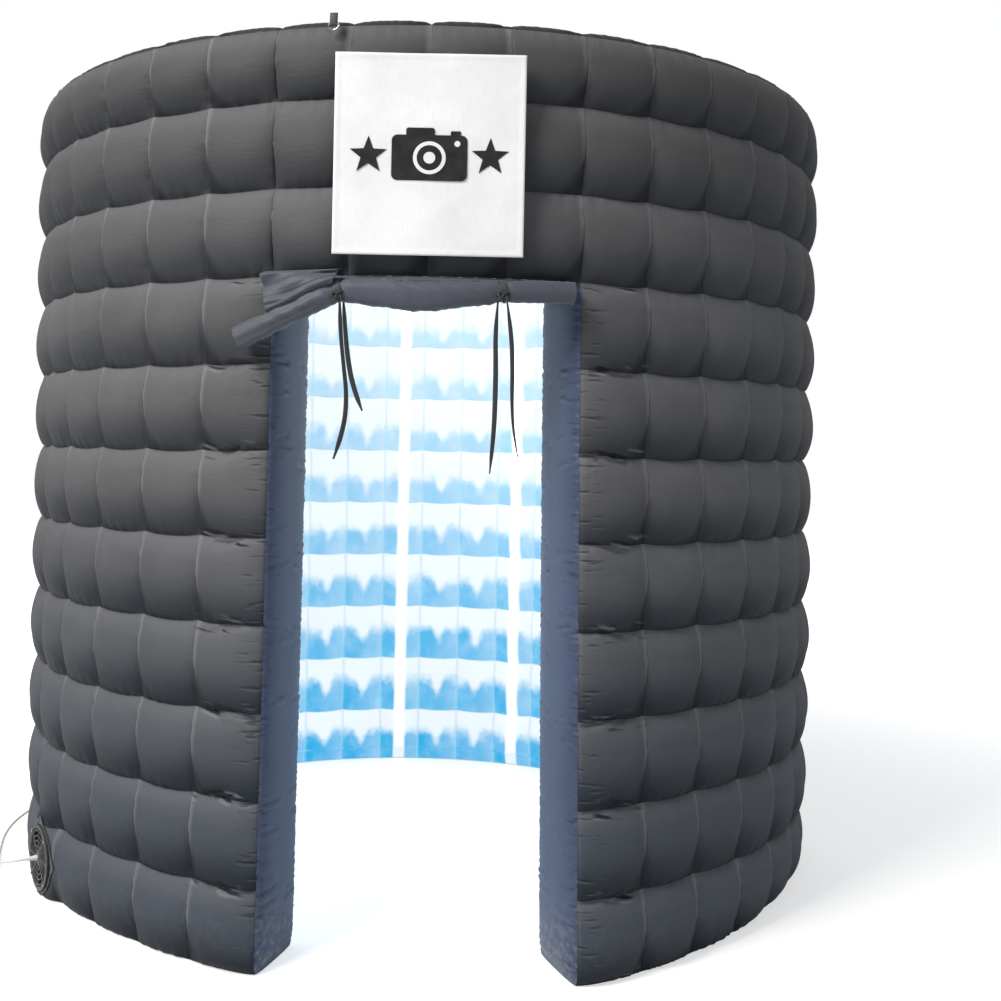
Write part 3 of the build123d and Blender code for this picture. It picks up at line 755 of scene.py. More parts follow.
def gathers(c, row, seed):
    """Small folds where the cloth is drawn in along its seams."""
    arc = c * OUTER_CELL_W
    z = row_height(row)
    off_row = np.abs((row + 0.5) % 1 - 0.5) * ROW_PITCH
    off_column = np.abs((c + 0.5) % 1 - 0.5) * OUTER_CELL_W
    number = np.floor(row + 0.5)
    level = ripple(arc + number * 3.7, seed, 0.016, 0.05) * np.exp(-off_row / 0.022)
    column = np.floor(c + 0.5)
    upright = ripple(z + column * 2.9, seed + 1, 0.02, 0.07) * np.exp(-off_column / 0.014)
    return 0.0023 * level * smooth(off_row / 0.004) + 0.0013 * upright


def corner_slits(t, row, seed):
    """Short dark folds beside a doorway corner, where each level seam dies out."""
    depth = np.zeros(np.broadcast(t, row).shape)
    metres = t * OUTER_CELL_W
    z = row_height(row)
    chance = draws(seed, ROWS, 3, 4)
    for k in range(1, SOFFIT_ROW):
        for n in range(3):
            a, b, s, h = chance[k, n]
            middle = 0.050 + 0.025 * n + 0.02 * a
            half = (0.030 if n else 0.048) * (0.6 + 0.6 * b)
            slope = (s - 0.62) * 0.55
            rise = ROW_LEVELS[k] + (h - 0.5) * (0.034 if n else 0.0) + slope * (metres - middle)
            reach = smooth(1.6 - np.abs(metres - middle) / half)
            off = (z - rise) / 0.0058
            depth = np.maximum(depth, reach * np.exp(-off * off) * (0.6 + 0.4 * a))
    return depth


def flat_spots(c, z):
    """How much the wall is held flat, behind the blower's collar and along the deflation zip."""
    angle = DOOR_HALF + COLUMN * c
    off = (angle - BLOWER_ANGLE + 180) % 360 - 180
    across = np.radians(off) * OUTER_CREST_R
    blower = 1 - smooth((np.hypot(across, z - BLOWER_Z) - 0.112) / 0.05)
    across = np.radians((angle - ZIP_ANGLE + 180) % 360 - 180) * OUTER_CREST_R
    beyond = np.maximum(np.abs(across) - 0.042, 0) / 0.035
    past = np.maximum(np.abs(z - 0.504) - 0.295, 0) / 0.04
    return np.maximum(blower, 1 - smooth(np.hypot(beyond, past)))


def foot_spread(c, z):
    """How far the wall leans out on the floor on either side of the doorway."""
    lean = np.where(c < COLUMNS / 2, FOOT_SPREAD[0], FOOT_SPREAD[1])
    beside = smooth(1 - np.clip(door_nearness(c), 0, None) / 2.6)
    return lean * beside * np.clip(1 - z / 1.65, 0, 1) ** 1.3


def skin_points(c, row, seam, crest, seed):
    """Where the outer or the inner skin is, at columns from the doorway and rows from the floor."""
    depth = crest - seam
    z = row_height(row)
    u = 2 * (c - np.floor(c)) - 1
    near = door_nearness(c)
    below = smooth((SOFFIT_Z - z) / 0.05)
    fade = smooth(1.15 - near / 0.8) * below * (near >= 0)
    full = pillow(c, row, seed)
    t = np.clip(near / 0.7, 0, 1)
    calm = 0.24 + 0.68 * np.sqrt(np.clip(1 - (1 - t) ** 3, 0, 1))
    ends = smooth(z / 0.03)
    calm = calm * (0.25 + 0.75 * ends)
    slit = corner_slits(near, row, seed + 5) * below * (near >= 0) * (near < 1)
    full = full * (1 - fade) + calm * fade - 0.50 * slit
    outward = 1.0 if depth > 0 else -1.0
    radius = seam + depth * full + outward * gathers(c, row, seed + 2) * (1 - 0.6 * fade)
    near_corner = np.exp(-np.abs(near) * OUTER_CELL_W / 0.03) * below
    radius = radius + outward * 0.0020 * ripple(z, seed + 7, 0.012, 0.035) * near_corner
    radius = radius + foot_spread(c, z)
    if outward > 0:
        held = flat_spots(c, z)
        radius = radius * (1 - held) + (OUTER_CREST_R - 0.0006) * held
        side = smooth((c - 2.0) / 3.0) * smooth((14.0 - c) / 3.0)
        radius = radius - 0.045 * side * np.exp(-z / 0.045)
    w = 2 * (row - np.floor(row)) - 1
    inner_seam = (row > 0.5) & (row < ROWS - 0.5)
    drop = 0.006 * (1 - u * u) * np.abs(w) ** 6 * inner_seam * (1 - fade) * smooth(near)
    z = np.clip(z - drop, FLOOR_GAP, None)
    return around(DOOR_HALF + COLUMN * c, radius, z)


def skin_uvs(c, row):
    quilt = np.stack(np.broadcast_arrays(c, row), -1)
    cloth = np.stack(np.broadcast_arrays(c * OUTER_CELL_W, row_height(row)), -1)
    return {"quilt": quilt, "cloth": cloth}


def skin_panel(name, first, columns, rows, steps, seam, crest, seed, hole=False):
    c = (first + crowded(columns, steps[0]))[None, :]
    row = (rows[0] + crowded(rows[1] - rows[0], steps[1]))[:, None]
    c, row = np.broadcast_arrays(c, row)
    points = skin_points(c, row, seam, crest, seed)
    drop = None
    if hole:
        middle = (points[:-1, :-1] + points[1:, 1:]) / 2
        centre = around(BLOWER_ANGLE, OUTER_CREST_R, BLOWER_Z)
        drop = np.linalg.norm(middle - centre, axis=-1) < 0.088
    if crest < seam:
        points = points[:, ::-1]
        c, row = c[:, ::-1], row[:, ::-1]
        drop = None if drop is None else drop[:, ::-1]
    return grid_object(name, points, skin_uvs(c, row), drop=drop)


# Each skin's radius at its seams, its radius at its crests and the seed of its draws.
OUTER = (OUTER_SEAM_R, OUTER_CREST_R, 11)
INNER = (INNER_SEAM_R, INNER_CREST_R, 47)


def build_skin(steps, side, sizes, material):
    """One side's four panels and its piece over the doorway."""
    for number, panel in enumerate(PANELS):
        name = f"{side}_skin_{panel}"
        obj = skin_panel(
            f"quilted_{name}", number * PANEL_COLUMNS, PANEL_COLUMNS, (0, ROWS), (steps, steps),
            *sizes, hole=name == "outer_skin_front_left")
        padded_piece(obj, material, name)
    name = f"lintel_{side}_skin"
    obj = skin_panel(
        f"quilted_{name}", -DOOR_COLUMNS, DOOR_COLUMNS, (SOFFIT_ROW, ROWS), (steps, steps), *sizes)
    padded_piece(obj, material, name)


def build_outer_skins(context):
    build_skin(context.scene.booth_wall.outer_steps, "outer", OUTER, "wall_cloth")


def build_inner_skins(context):
    build_skin(context.scene.booth_wall.inner_steps, "inner", INNER, "lining_cloth")


def edge_line(column, rows, places, outside):
    """An edge of a skin's own quads, at any rows or columns between their corners."""
    corners = skin_points(column, rows, *(OUTER if outside else INNER))
    known = np.broadcast_arrays(column, rows)[0 if np.ndim(column) else 1]
    return np.stack([np.interp(places, known, corners[:, k]) for k in range(3)], -1)


def jamb_points(p, row, side, wall):
    """One end of the wall beside the doorway, from its cabin edge to its outer edge."""
    c = 0.0 if side > 0 else float(COLUMNS)
    outer = edge_line(c, crowded(SOFFIT_ROW, wall.outer_steps), row, True)
    inner = edge_line(c, crowded(SOFFIT_ROW, wall.inner_steps), row, False)
    points = inner + (outer - inner) * p[..., None]
    z = row_height(row)
    top = smooth((SOFFIT_Z - z) / 0.06) * smooth(z / 0.05)
    bulge = 0.020 * dome(2 * p - 1, 2.6, 0.55) * (0.35 + 0.65 * top)
    seed = 71 if side > 0 else 83
    edge = np.minimum(p, 1 - p) * JAMB_W
    bulge = bulge + 0.0013 * ripple(z, seed, 0.011, 0.03) * np.exp(-edge / 0.02) * smooth(
        edge / 0.004)
    chance = draws(seed + 1, ROWS, 4, 5)
    for k in range(1, SOFFIT_ROW):
        for n in range(4):
            a, b, s, h, q = chance[k, n]
            at_outer = n % 2
            middle = (0.72 + 0.16 * a) if at_outer else (0.12 + 0.16 * a)
            half = 0.10 + 0.08 * b
            rise = ROW_LEVELS[k] - 0.02 + (h - 0.5) * 0.12 + (s - 0.4) * 0.05 * (p - middle)
            reach = smooth(1.5 - np.abs(p - middle) / half) * smooth(edge / 0.010)
            off = (z - rise) / 0.0048
            bulge = bulge - 0.0055 * reach * np.exp(-off * off) * (0.4 + 0.6 * q)
            lip = (z - rise + 0.009) / 0.007
            bulge = bulge + 0.0018 * reach * np.exp(-lip * lip)
    toward = np.array([-math.cos(math.radians(DOOR_HALF)) * side,
                       -math.sin(math.radians(DOOR_HALF)), 0.0])
    return points + bulge[..., None] * toward


def build_wall_ends(context):
    wall = context.scene.booth_wall
    p = eased(np.linspace(0, 1, 45))
    for side, name in ((1, "jamb_right"), (-1, "jamb_left")):
        row = (crowded(SOFFIT_ROW, wall.shared_steps))[:, None]
        across, row = np.broadcast_arrays(p[None, :], row)
        points = jamb_points(across, row, side, wall)
        uvs = {"cloth": np.stack([across * JAMB_W, row_height(row)], -1),
               "quilt": np.stack([across, row], -1)}
        if side > 0:
            points = points[:, ::-1]
            uvs = {key: value[:, ::-1] for key, value in uvs.items()}
        obj = grid_object(f"padded_{name}", points, uvs)
        padded_piece(obj, "jamb_cloth", name)
    c, s = np.meshgrid(crowded(DOOR_COLUMNS, wall.shared_steps) - DOOR_COLUMNS,
                       np.linspace(0, 1, 25))
    outer, inner = (
        edge_line(crowded(DOOR_COLUMNS, steps) - DOOR_COLUMNS, float(SOFFIT_ROW), c, outside)
        for steps, outside in ((wall.outer_steps, True), (wall.inner_steps, False)))
    points = inner + (outer - inner) * s[..., None]
    ends = smooth(np.minimum(c + DOOR_COLUMNS, -c) / 0.25)
    sag = 0.018 * dome(2 * s - 1, 2.2, 0.6) * (0.2 + 0.8 * ends)
    points[..., 2] -= sag + 0.0012 * ripple(c * 0.19, 91, 0.015, 0.05) * ends
    uvs = {"cloth": np.stack([c * 0.18, s * CAP_W], -1), "quilt": np.stack([c, s], -1)}
    obj = grid_object("padded_lintel_underside", points[:, ::-1],
                      {key: value[:, ::-1] for key, value in uvs.items()})
    padded_piece(obj, "jamb_cloth", "lintel_underside")


def build_cap_and_base(context):
    wall = context.scene.booth_wall
    c = (crowded(COLUMNS + DOOR_COLUMNS, wall.shared_steps) - DOOR_COLUMNS)[None, :]
    s = eased(np.linspace(0, 1, 29))[:, None]
    c, s = np.broadcast_arrays(c, s)
    outer, inner = (
        edge_line(crowded(COLUMNS + DOOR_COLUMNS, steps) - DOOR_COLUMNS, float(ROWS), c, outside)
        for steps, outside in ((wall.outer_steps, True), (wall.inner_steps, False)))
    points = outer + (inner - outer) * s[..., None]
    u = 2 * (c - np.floor(c)) - 1
    upright = 1 - dome(u, 3, 0.5)
    rise = 0.031 * dome(2 * s - 1, 2.2, 0.6) * (1 - 0.5 * upright)
    edge = np.minimum(s, 1 - s) * CAP_W
    gather = 0.0016 * ripple(c * OUTER_CELL_W, 101, 0.014, 0.04)
    rise = rise + gather * np.exp(-edge / 0.02) * smooth(edge / 0.004)
    points[..., 2] = np.minimum(points[..., 2] + rise, TOP_Z)
    uvs = {"quilt": np.stack([c, s], -1), "cloth": np.stack([c * OUTER_CELL_W, s * CAP_W], -1)}
    obj = grid_object("quilted_top_cap", points, uvs)
    padded_piece(obj, "wall_cloth", "top_cap")

    c, s = np.meshgrid(crowded(COLUMNS, 6), np.linspace(0, 1, 9))
    row = np.zeros(c.shape) + 1e-6
    outer = skin_points(c, row, *OUTER)
    inner = skin_points(c, row, *INNER)
    points = inner + (outer - inner) * s[..., None]
    points[..., 2] = FLOOR_GAP - 0.0015 * np.sin(np.pi * s)
    uvs = {"cloth": np.stack([c * OUTER_CELL_W, s * CAP_W], -1), "quilt": np.stack([c, s], -1)}
    obj = grid_object("sewn_base_panel", points, uvs)
    padded_piece(obj, "patch_cloth", "base_panel")


def build_tethers(context):
    """The webs inside the wall, drawn in to the seams that they hold."""
    angles = np.linspace(DOOR_HALF, 360 - DOOR_HALF, 217)[None, :]
    radii = np.linspace(INNER_SEAM_R + 0.003, OUTER_SEAM_R - 0.003, 9)[:, None]
    corners, faces, start = [], [], 0
    for k in range(1, ROWS):
        a, r = np.broadcast_arrays(angles, radii)
        lean = foot_spread((a - DOOR_HALF) / COLUMN, ROW_LEVELS[k])
        place = around(a, r + lean, ROW_LEVELS[k] + 0.002 * np.sin(np.radians(a) * 40))
        number = np.arange(a.size).reshape(a.shape)
        quads = quads_of(number)
        middle_a = ((a[:-1, :-1] + a[1:, 1:]) / 2 - DOOR_HALF) % COLUMN - COLUMN / 2
        middle_r = (r[:-1, :-1] + r[1:, 1:]) / 2
        hole = np.hypot(np.radians(middle_a) * middle_r, middle_r - 1.119) < 0.045
        corners.append(place.reshape(-1, 3))
        faces += (quads[~hole] + start).tolist()
        start += a.size
    mesh = bpy.data.meshes.new("row_webs")
    mesh.from_pydata(np.concatenate(corners), [], faces)
    mesh.update()
    mesh.uv_layers.new(name="cloth")
    finish_piece(link("row_webs", mesh), "web_cloth",
                 replaces=["row_tethers"])
    parts = []
    for n in range(1, 12):
        r, z = np.meshgrid(radii.ravel(), np.linspace(0.01, 2.30, 60))
        place = around(DOOR_HALF + 3 * COLUMN * n + 0.05 * np.sin(z * 20), r, z)
        number = np.arange(r.size).reshape(r.shape)
        quads = quads_of(number)
        parts.append((place.reshape(-1, 3), quads.reshape(-1, 4).tolist()))
    obj = mesh_object("column_webs", parts)
    obj.data.uv_layers.new(name="cloth")
    finish_piece(obj, "web_cloth", replaces=["column_tethers"])


# ---- Lights ----

def inner_radius(angle, z):
    c = np.full(np.shape(z), (angle - DOOR_HALF) / COLUMN)
    row = np.interp(z, ROW_LEVELS, np.arange(ROWS + 1))
    place = skin_points(c, row, *INNER)
    return np.hypot(place[..., 0], place[..., 1])


STRIP_W = 0.030
# A strip's holding loop: places across it, and how far it stands off the lining there.
LOOP_ACROSS = np.array([-0.0175, -0.0168, -0.0158, 0.0, 0.0158, 0.0168, 0.0175])
LOOP_LIFT = np.array([0.0, 0.006, 0.0125, 0.0145, 0.0125, 0.006, 0.0]) * 1.1


def strip_angles(number):
    """Where one panel's light strips are: in the middle of every third cell."""
    return [DOOR_HALF + COLUMN / 2 + COLUMN * (PANEL_COLUMNS * number + 3 * n) for n in range(3)]


def build_light_strips(context):
    z = np.linspace(0.060, 2.297, 330)
    for number, panel in enumerate(PANELS):
        parts = []
        for angle in strip_angles(number):
            wall = inner_radius(angle, z)
            near = np.minimum(wall, 0.9925)
            slack = np.convolve(np.pad(near, 12, "edge"), np.ones(25) / 25, "valid")
            radius = np.minimum(slack, wall) - 0.0035
            line = around(angle, radius, z)
            parts.append(swept_parts(
                line, rounded_bar(STRIP_W, 0.004), around(angle + 90, 1.0, 0.0)))
        obj = mesh_object(f"lit_strips_{panel}", parts)
        finish_piece(obj, "lit_strip", replaces=[f"led_strips_{panel}"])
        loops = []
        for angle in strip_angles(number):
            side = around(angle + 90, 1.0, 0.0)
            out = around(angle, 1.0, 0.0)
            for level in ROW_LEVELS[1:-1]:
                base = around(angle, 0.0, level) + out * float(inner_radius(
                    angle, np.array([level]))[0])
                line = base + LOOP_ACROSS[:, None] * side - LOOP_LIFT[:, None] * out
                loops.append(swept_parts(line, rounded_bar(0.012, 0.0008), WORLD_UP))
        obj = mesh_object(f"strip_loops_{panel}", loops)
        # The loops take the strips' glowing finish, so they glow with painted light though they are
        # no lamps.
        finish_piece(obj, "lit_strip")


CAD_FINISHES = {
    "led_controller_case": ("black_plastic", 0.002),
    "led_controller_board": ("board", 0.0003),
    "led_controller_button": ("steel", 0.001),
}


def keep_nodes(finishes):
    """CAD parts whose shape is right get their material and softened edges."""
    for name, (material, edge) in finishes.items():
        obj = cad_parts[name]
        obj.data.materials.clear()
        obj.data.materials.append(bpy.data.materials[material])
        if edge:
            add_modifier(obj, "BEVEL", width=edge, segments=2, limit_method="ANGLE",
                         angle_limit=math.radians(40), harden_normals=False)


def build_light_controller(context):
    keep_nodes(CAD_FINISHES)
    angle, turn = np.meshgrid(np.linspace(20.0, 340.0, 641), np.arange(9) / 8 * 2 * np.pi)
    wall = inner_radius(angle, np.full(angle.shape, HARNESS_Z))
    c = (angle - DOOR_HALF) / COLUMN
    radius = np.minimum(wall, 0.9875 + foot_spread(c, HARNESS_Z)) - 0.0030
    points = around(angle, radius + 0.0025 * np.cos(turn), HARNESS_Z + 0.0025 * np.sin(turn))
    obj = grid_object("strip_harness", points, {
        "quilt": np.stack([c, np.full_like(c, 0.05)], -1),
        "cloth": np.stack([c * INNER_CELL_W, turn * 0.003], -1)})
    # The harness takes the lining's glowing finish, so it too glows with painted light.
    finish_piece(obj, "lining_cloth", replaces=["led_harness"])


# ---- Mains lead ----

LEAD_D = 0.0065
LEAD_EXIT = (1.2925, 0.105)
LEAD_ROUTE = (
    (0.0, *LEAD_EXIT), (0.0, 1.319, 0.104), (0.9, 1.345, 0.099), (2.6, 1.357, 0.091),
    (4.8, 1.357, 0.076), (7.2, 1.349, 0.057), (9.6, 1.340, 0.038), (12.2, 1.334, 0.021),
    (15.2, 1.331, 0.009), (18.8, 1.332, 0.0044), (22.6, 1.337, 0.0035), (26.6, 1.345, 0.0034),
    (30.0, 1.350, 0.0034), (33.4, 1.353, 0.0034), (36.8, 1.352, 0.0034), (40.2, 1.350, 0.0034),
    (43.6, 1.349, 0.0034), (47.6, 1.355, 0.0034), (51.4, 1.372, 0.0034), (54.6, 1.389, 0.0034))
COIL_ANGLE = 58.6
COIL_R = 1.432
COIL_ENTRY = (-0.0337, 0.0357, 0.0034)
COIL_EXIT = (0.0175, 0.0367, 0.0160)
TAIL_ROUTE = ((0.0337, 0.0357, 0.0125), (0.062, 0.038, 0.008), (0.094, 0.046, 0.0044),
              (0.122, 0.062, 0.0034))
# Each turn of the coil: its radius and the height of its middle line.
COIL_TURNS = ((0.0428, 0.0034), (0.0360, 0.0034), (0.0292, 0.0036), (0.0330, 0.0092),
              (0.0397, 0.0092), (0.0362, 0.0152))
TURN_POINTS = 14


def coil_frame():
    middle = around(BLOWER_ANGLE - COIL_ANGLE, COIL_R, 0.0)
    toward = -middle / np.linalg.norm(middle)
    onward = np.cross(WORLD_UP, toward)
    return middle, onward, toward


def lead_route():
    """The lead's route from the blower, through its coil, to the plug."""
    middle, onward, toward = coil_frame()
    places = [around(BLOWER_ANGLE - turn, radius, z) for turn, radius, z in LEAD_ROUTE]
    places.append(middle + onward * COIL_ENTRY[0] + toward * COIL_ENTRY[1]
                  + WORLD_UP * COIL_ENTRY[2])
    # The turns start and end on the side of the booth, where the lead runs onward.
    first, last = math.radians(100.0), math.radians(86.0)
    radii = [size for size, _ in COIL_TURNS]
    levels = [z for _, z in COIL_TURNS]
    turning = 2 * math.pi * len(COIL_TURNS) + first - last
    steps = int(TURN_POINTS * turning / (2 * math.pi))
    for k in range(steps + 1):
        done = k / steps * turning / (2 * math.pi)
        size = np.interp(done, np.arange(len(radii)) + 0.5, radii)
        level = np.interp(done, np.arange(len(levels)) + 0.5, levels)
        a = first - k / steps * turning
        places.append(middle + onward * (size * math.cos(a)) + toward * (size * math.sin(a))
                      + WORLD_UP * level)
    for on, near, z in (COIL_EXIT, *TAIL_ROUTE):
        places.append(middle + onward * on + toward * near + WORLD_UP * z)
    return places


def build_mains_lead(context):
    keep_nodes({
        "power_plug": ("white_cable", 0.0012),
        "power_plug_pins": ("brass", 0.0003),
        "power_lead_gland": ("white_cable", 0.0006),
    })
    obj = route_curve("mains_lead", lead_route())
    obj.data.resolution_u = 6
    obj.data.bevel_depth = LEAD_D / 2
    obj.data.bevel_resolution = 4
    obj.data.use_fill_caps = True
    finish_piece(obj, "white_cable",
                 replaces=["power_lead", "power_lead_coil", "power_lead_tail"])
    ties = []
    middle, onward, toward = coil_frame()
    for turn in (25.0, 205.0):
        a = math.radians(turn)
        out = onward * math.cos(a) + toward * math.sin(a)
        round_it = np.arange(25) / 24 * 2 * np.pi
        line = (middle + out * 0.036 + WORLD_UP * 0.0104
                + np.outer(np.cos(round_it) * 0.0128, out)
                + np.outer(np.sin(round_it) * 0.0098, WORLD_UP))
        ties.append(swept_parts(line, rounded_bar(0.007, 0.0008), np.cross(out, WORLD_UP),
                                cap=False))
    strap = mesh_object("coil_straps", ties)
    finish_piece(strap, "black_cable")
    list(around(BLOWER_ANGLE, *LEAD_EXIT))


# ---- Door curtain, its header and its ties ----

ROLL_ROUTE = (
    (-20.8, 1.288, 1.548), (-17.2, 1.285, 1.583), (-13.6, 1.280, 1.620), (-10.8, 1.269, 1.652),
    (-9.0, 1.262, 1.666), (-4.6, 1.262, 1.663), (0.0, 1.262, 1.659), (4.6, 1.262, 1.663),
    (8.6, 1.262, 1.669), (12.4, 1.262, 1.672), (16.2, 1.266, 1.671))
WRAP_PLACES = (0.323, 0.790)
HEADER_END = 16.8
ROLL_TURNS = 13
ROLL_R = (0.0045, 0.0276)
ROLL_LENGTH = 0.85
WRAP_R = 0.0247
KNOT_R = 0.0062
TIE_ROUTES = {
    "tie_tape_left_long": (
        (-0.206, -1.258, 1.642), (-0.203, -1.260, 1.570), (-0.194, -1.258, 1.490),
        (-0.184, -1.257, 1.410), (-0.190, -1.260, 1.330), (-0.213, -1.264, 1.262)),
    "tie_tape_left_short": (
        (-0.198, -1.240, 1.642), (-0.193, -1.236, 1.575), (-0.185, -1.238, 1.500),
        (-0.170, -1.240, 1.430), (-0.148, -1.242, 1.378)),
    "tie_tape_right_long": (
        (0.170, -1.258, 1.644), (0.165, -1.261, 1.572), (0.168, -1.259, 1.490),
        (0.168, -1.260, 1.410), (0.166, -1.258, 1.320), (0.158, -1.260, 1.234)),
    "tie_tape_right_short": (
        (0.193, -1.242, 1.644), (0.204, -1.241, 1.575), (0.209, -1.243, 1.490),
        (0.209, -1.241, 1.400), (0.215, -1.243, 1.325), (0.228, -1.246, 1.262)),
}

TIE_W = 0.015
TIE_TURNS = (38.0, 34.0, 34.0, 46.0)
# Long creases of the roll's drooping end: where round it, how wide and how deep.
LOOSE_CREASES = ((0.45, 0.16, 0.006), (5.85, 0.12, 0.005), (1.15, 0.10, 0.003))
# Creases of the slack corner: where across the fan, how wide and how deep.
SLACK_RIBS = ((0.30, 0.22, 0.010), (0.58, 0.16, 0.008), (0.82, 0.12, 0.006))


def along_line(line):
    """How far each point is along a line, from 0 to 1, and the whole length."""
    far = np.append(0, np.cumsum(np.linalg.norm(np.diff(line, axis=0), axis=1)))
    return far / far[-1], float(far[-1])


def spread_line(line, count):
    far, _ = along_line(line)
    return np.stack([np.interp(np.linspace(0, 1, count), far, line[:, k]) for k in range(3)], -1)


def build_ties(context):
    for number, (name, route) in enumerate(TIE_ROUTES.items()):
        line = spread_line(route_line(route, 10), 60)
        far, long = along_line(line)
        turn = np.radians(TIE_TURNS[number] + 12 * np.sin(far * 5 + number) + 14 * far ** 3)
        side = np.stack([np.cos(turn), np.sin(turn), np.zeros_like(turn)], -1)
        half = np.linspace(-TIE_W / 2, TIE_W / 2, 7)
        lift = 0.0014 * (1 - (half / (TIE_W / 2)) ** 2)
        section = list(zip(half, lift)) + list(zip(half[::-1], lift[::-1] - 0.0007))
        pinch = (0.45 + 0.45 * smooth(far / 0.16)) * (0.45 + 0.55 * smooth((1 - far) / 0.12))
        corners, faces = swept_parts(line, section, side, size=pinch)
        obj = mesh_object(name.replace("tape", "ribbon"), [(corners, faces)])
        finish_piece(obj, "tape_cloth", replaces=[name])


def roll_frame(count):
    line = spread_line(route_line([around(*place) for place in ROLL_ROUTE], 10), count)
    ahead = np.gradient(line, axis=0)
    ahead /= np.linalg.norm(ahead, axis=1)[:, None]
    out = np.stack([line[:, 0], line[:, 1], np.zeros(len(line))], -1)
    out /= np.linalg.norm(out, axis=1)[:, None]
    out -= (out * ahead).sum(1)[:, None] * ahead
    out /= np.linalg.norm(out, axis=1)[:, None]
    up = np.cross(out, ahead)
    up *= np.sign(up[:, 2:3])
    return line, ahead, out, up


def roll_size(far):
    """How far the roll is drawn in by its two wraps, and how much it bellies between them."""
    nip = sum(bell(far - place, 0.022) for place in WRAP_PLACES)
    belly = bell(far - 0.545, 0.15)
    end = smooth((0.16 - far) / 0.16)
    return 1 - 0.20 * nip, belly, end


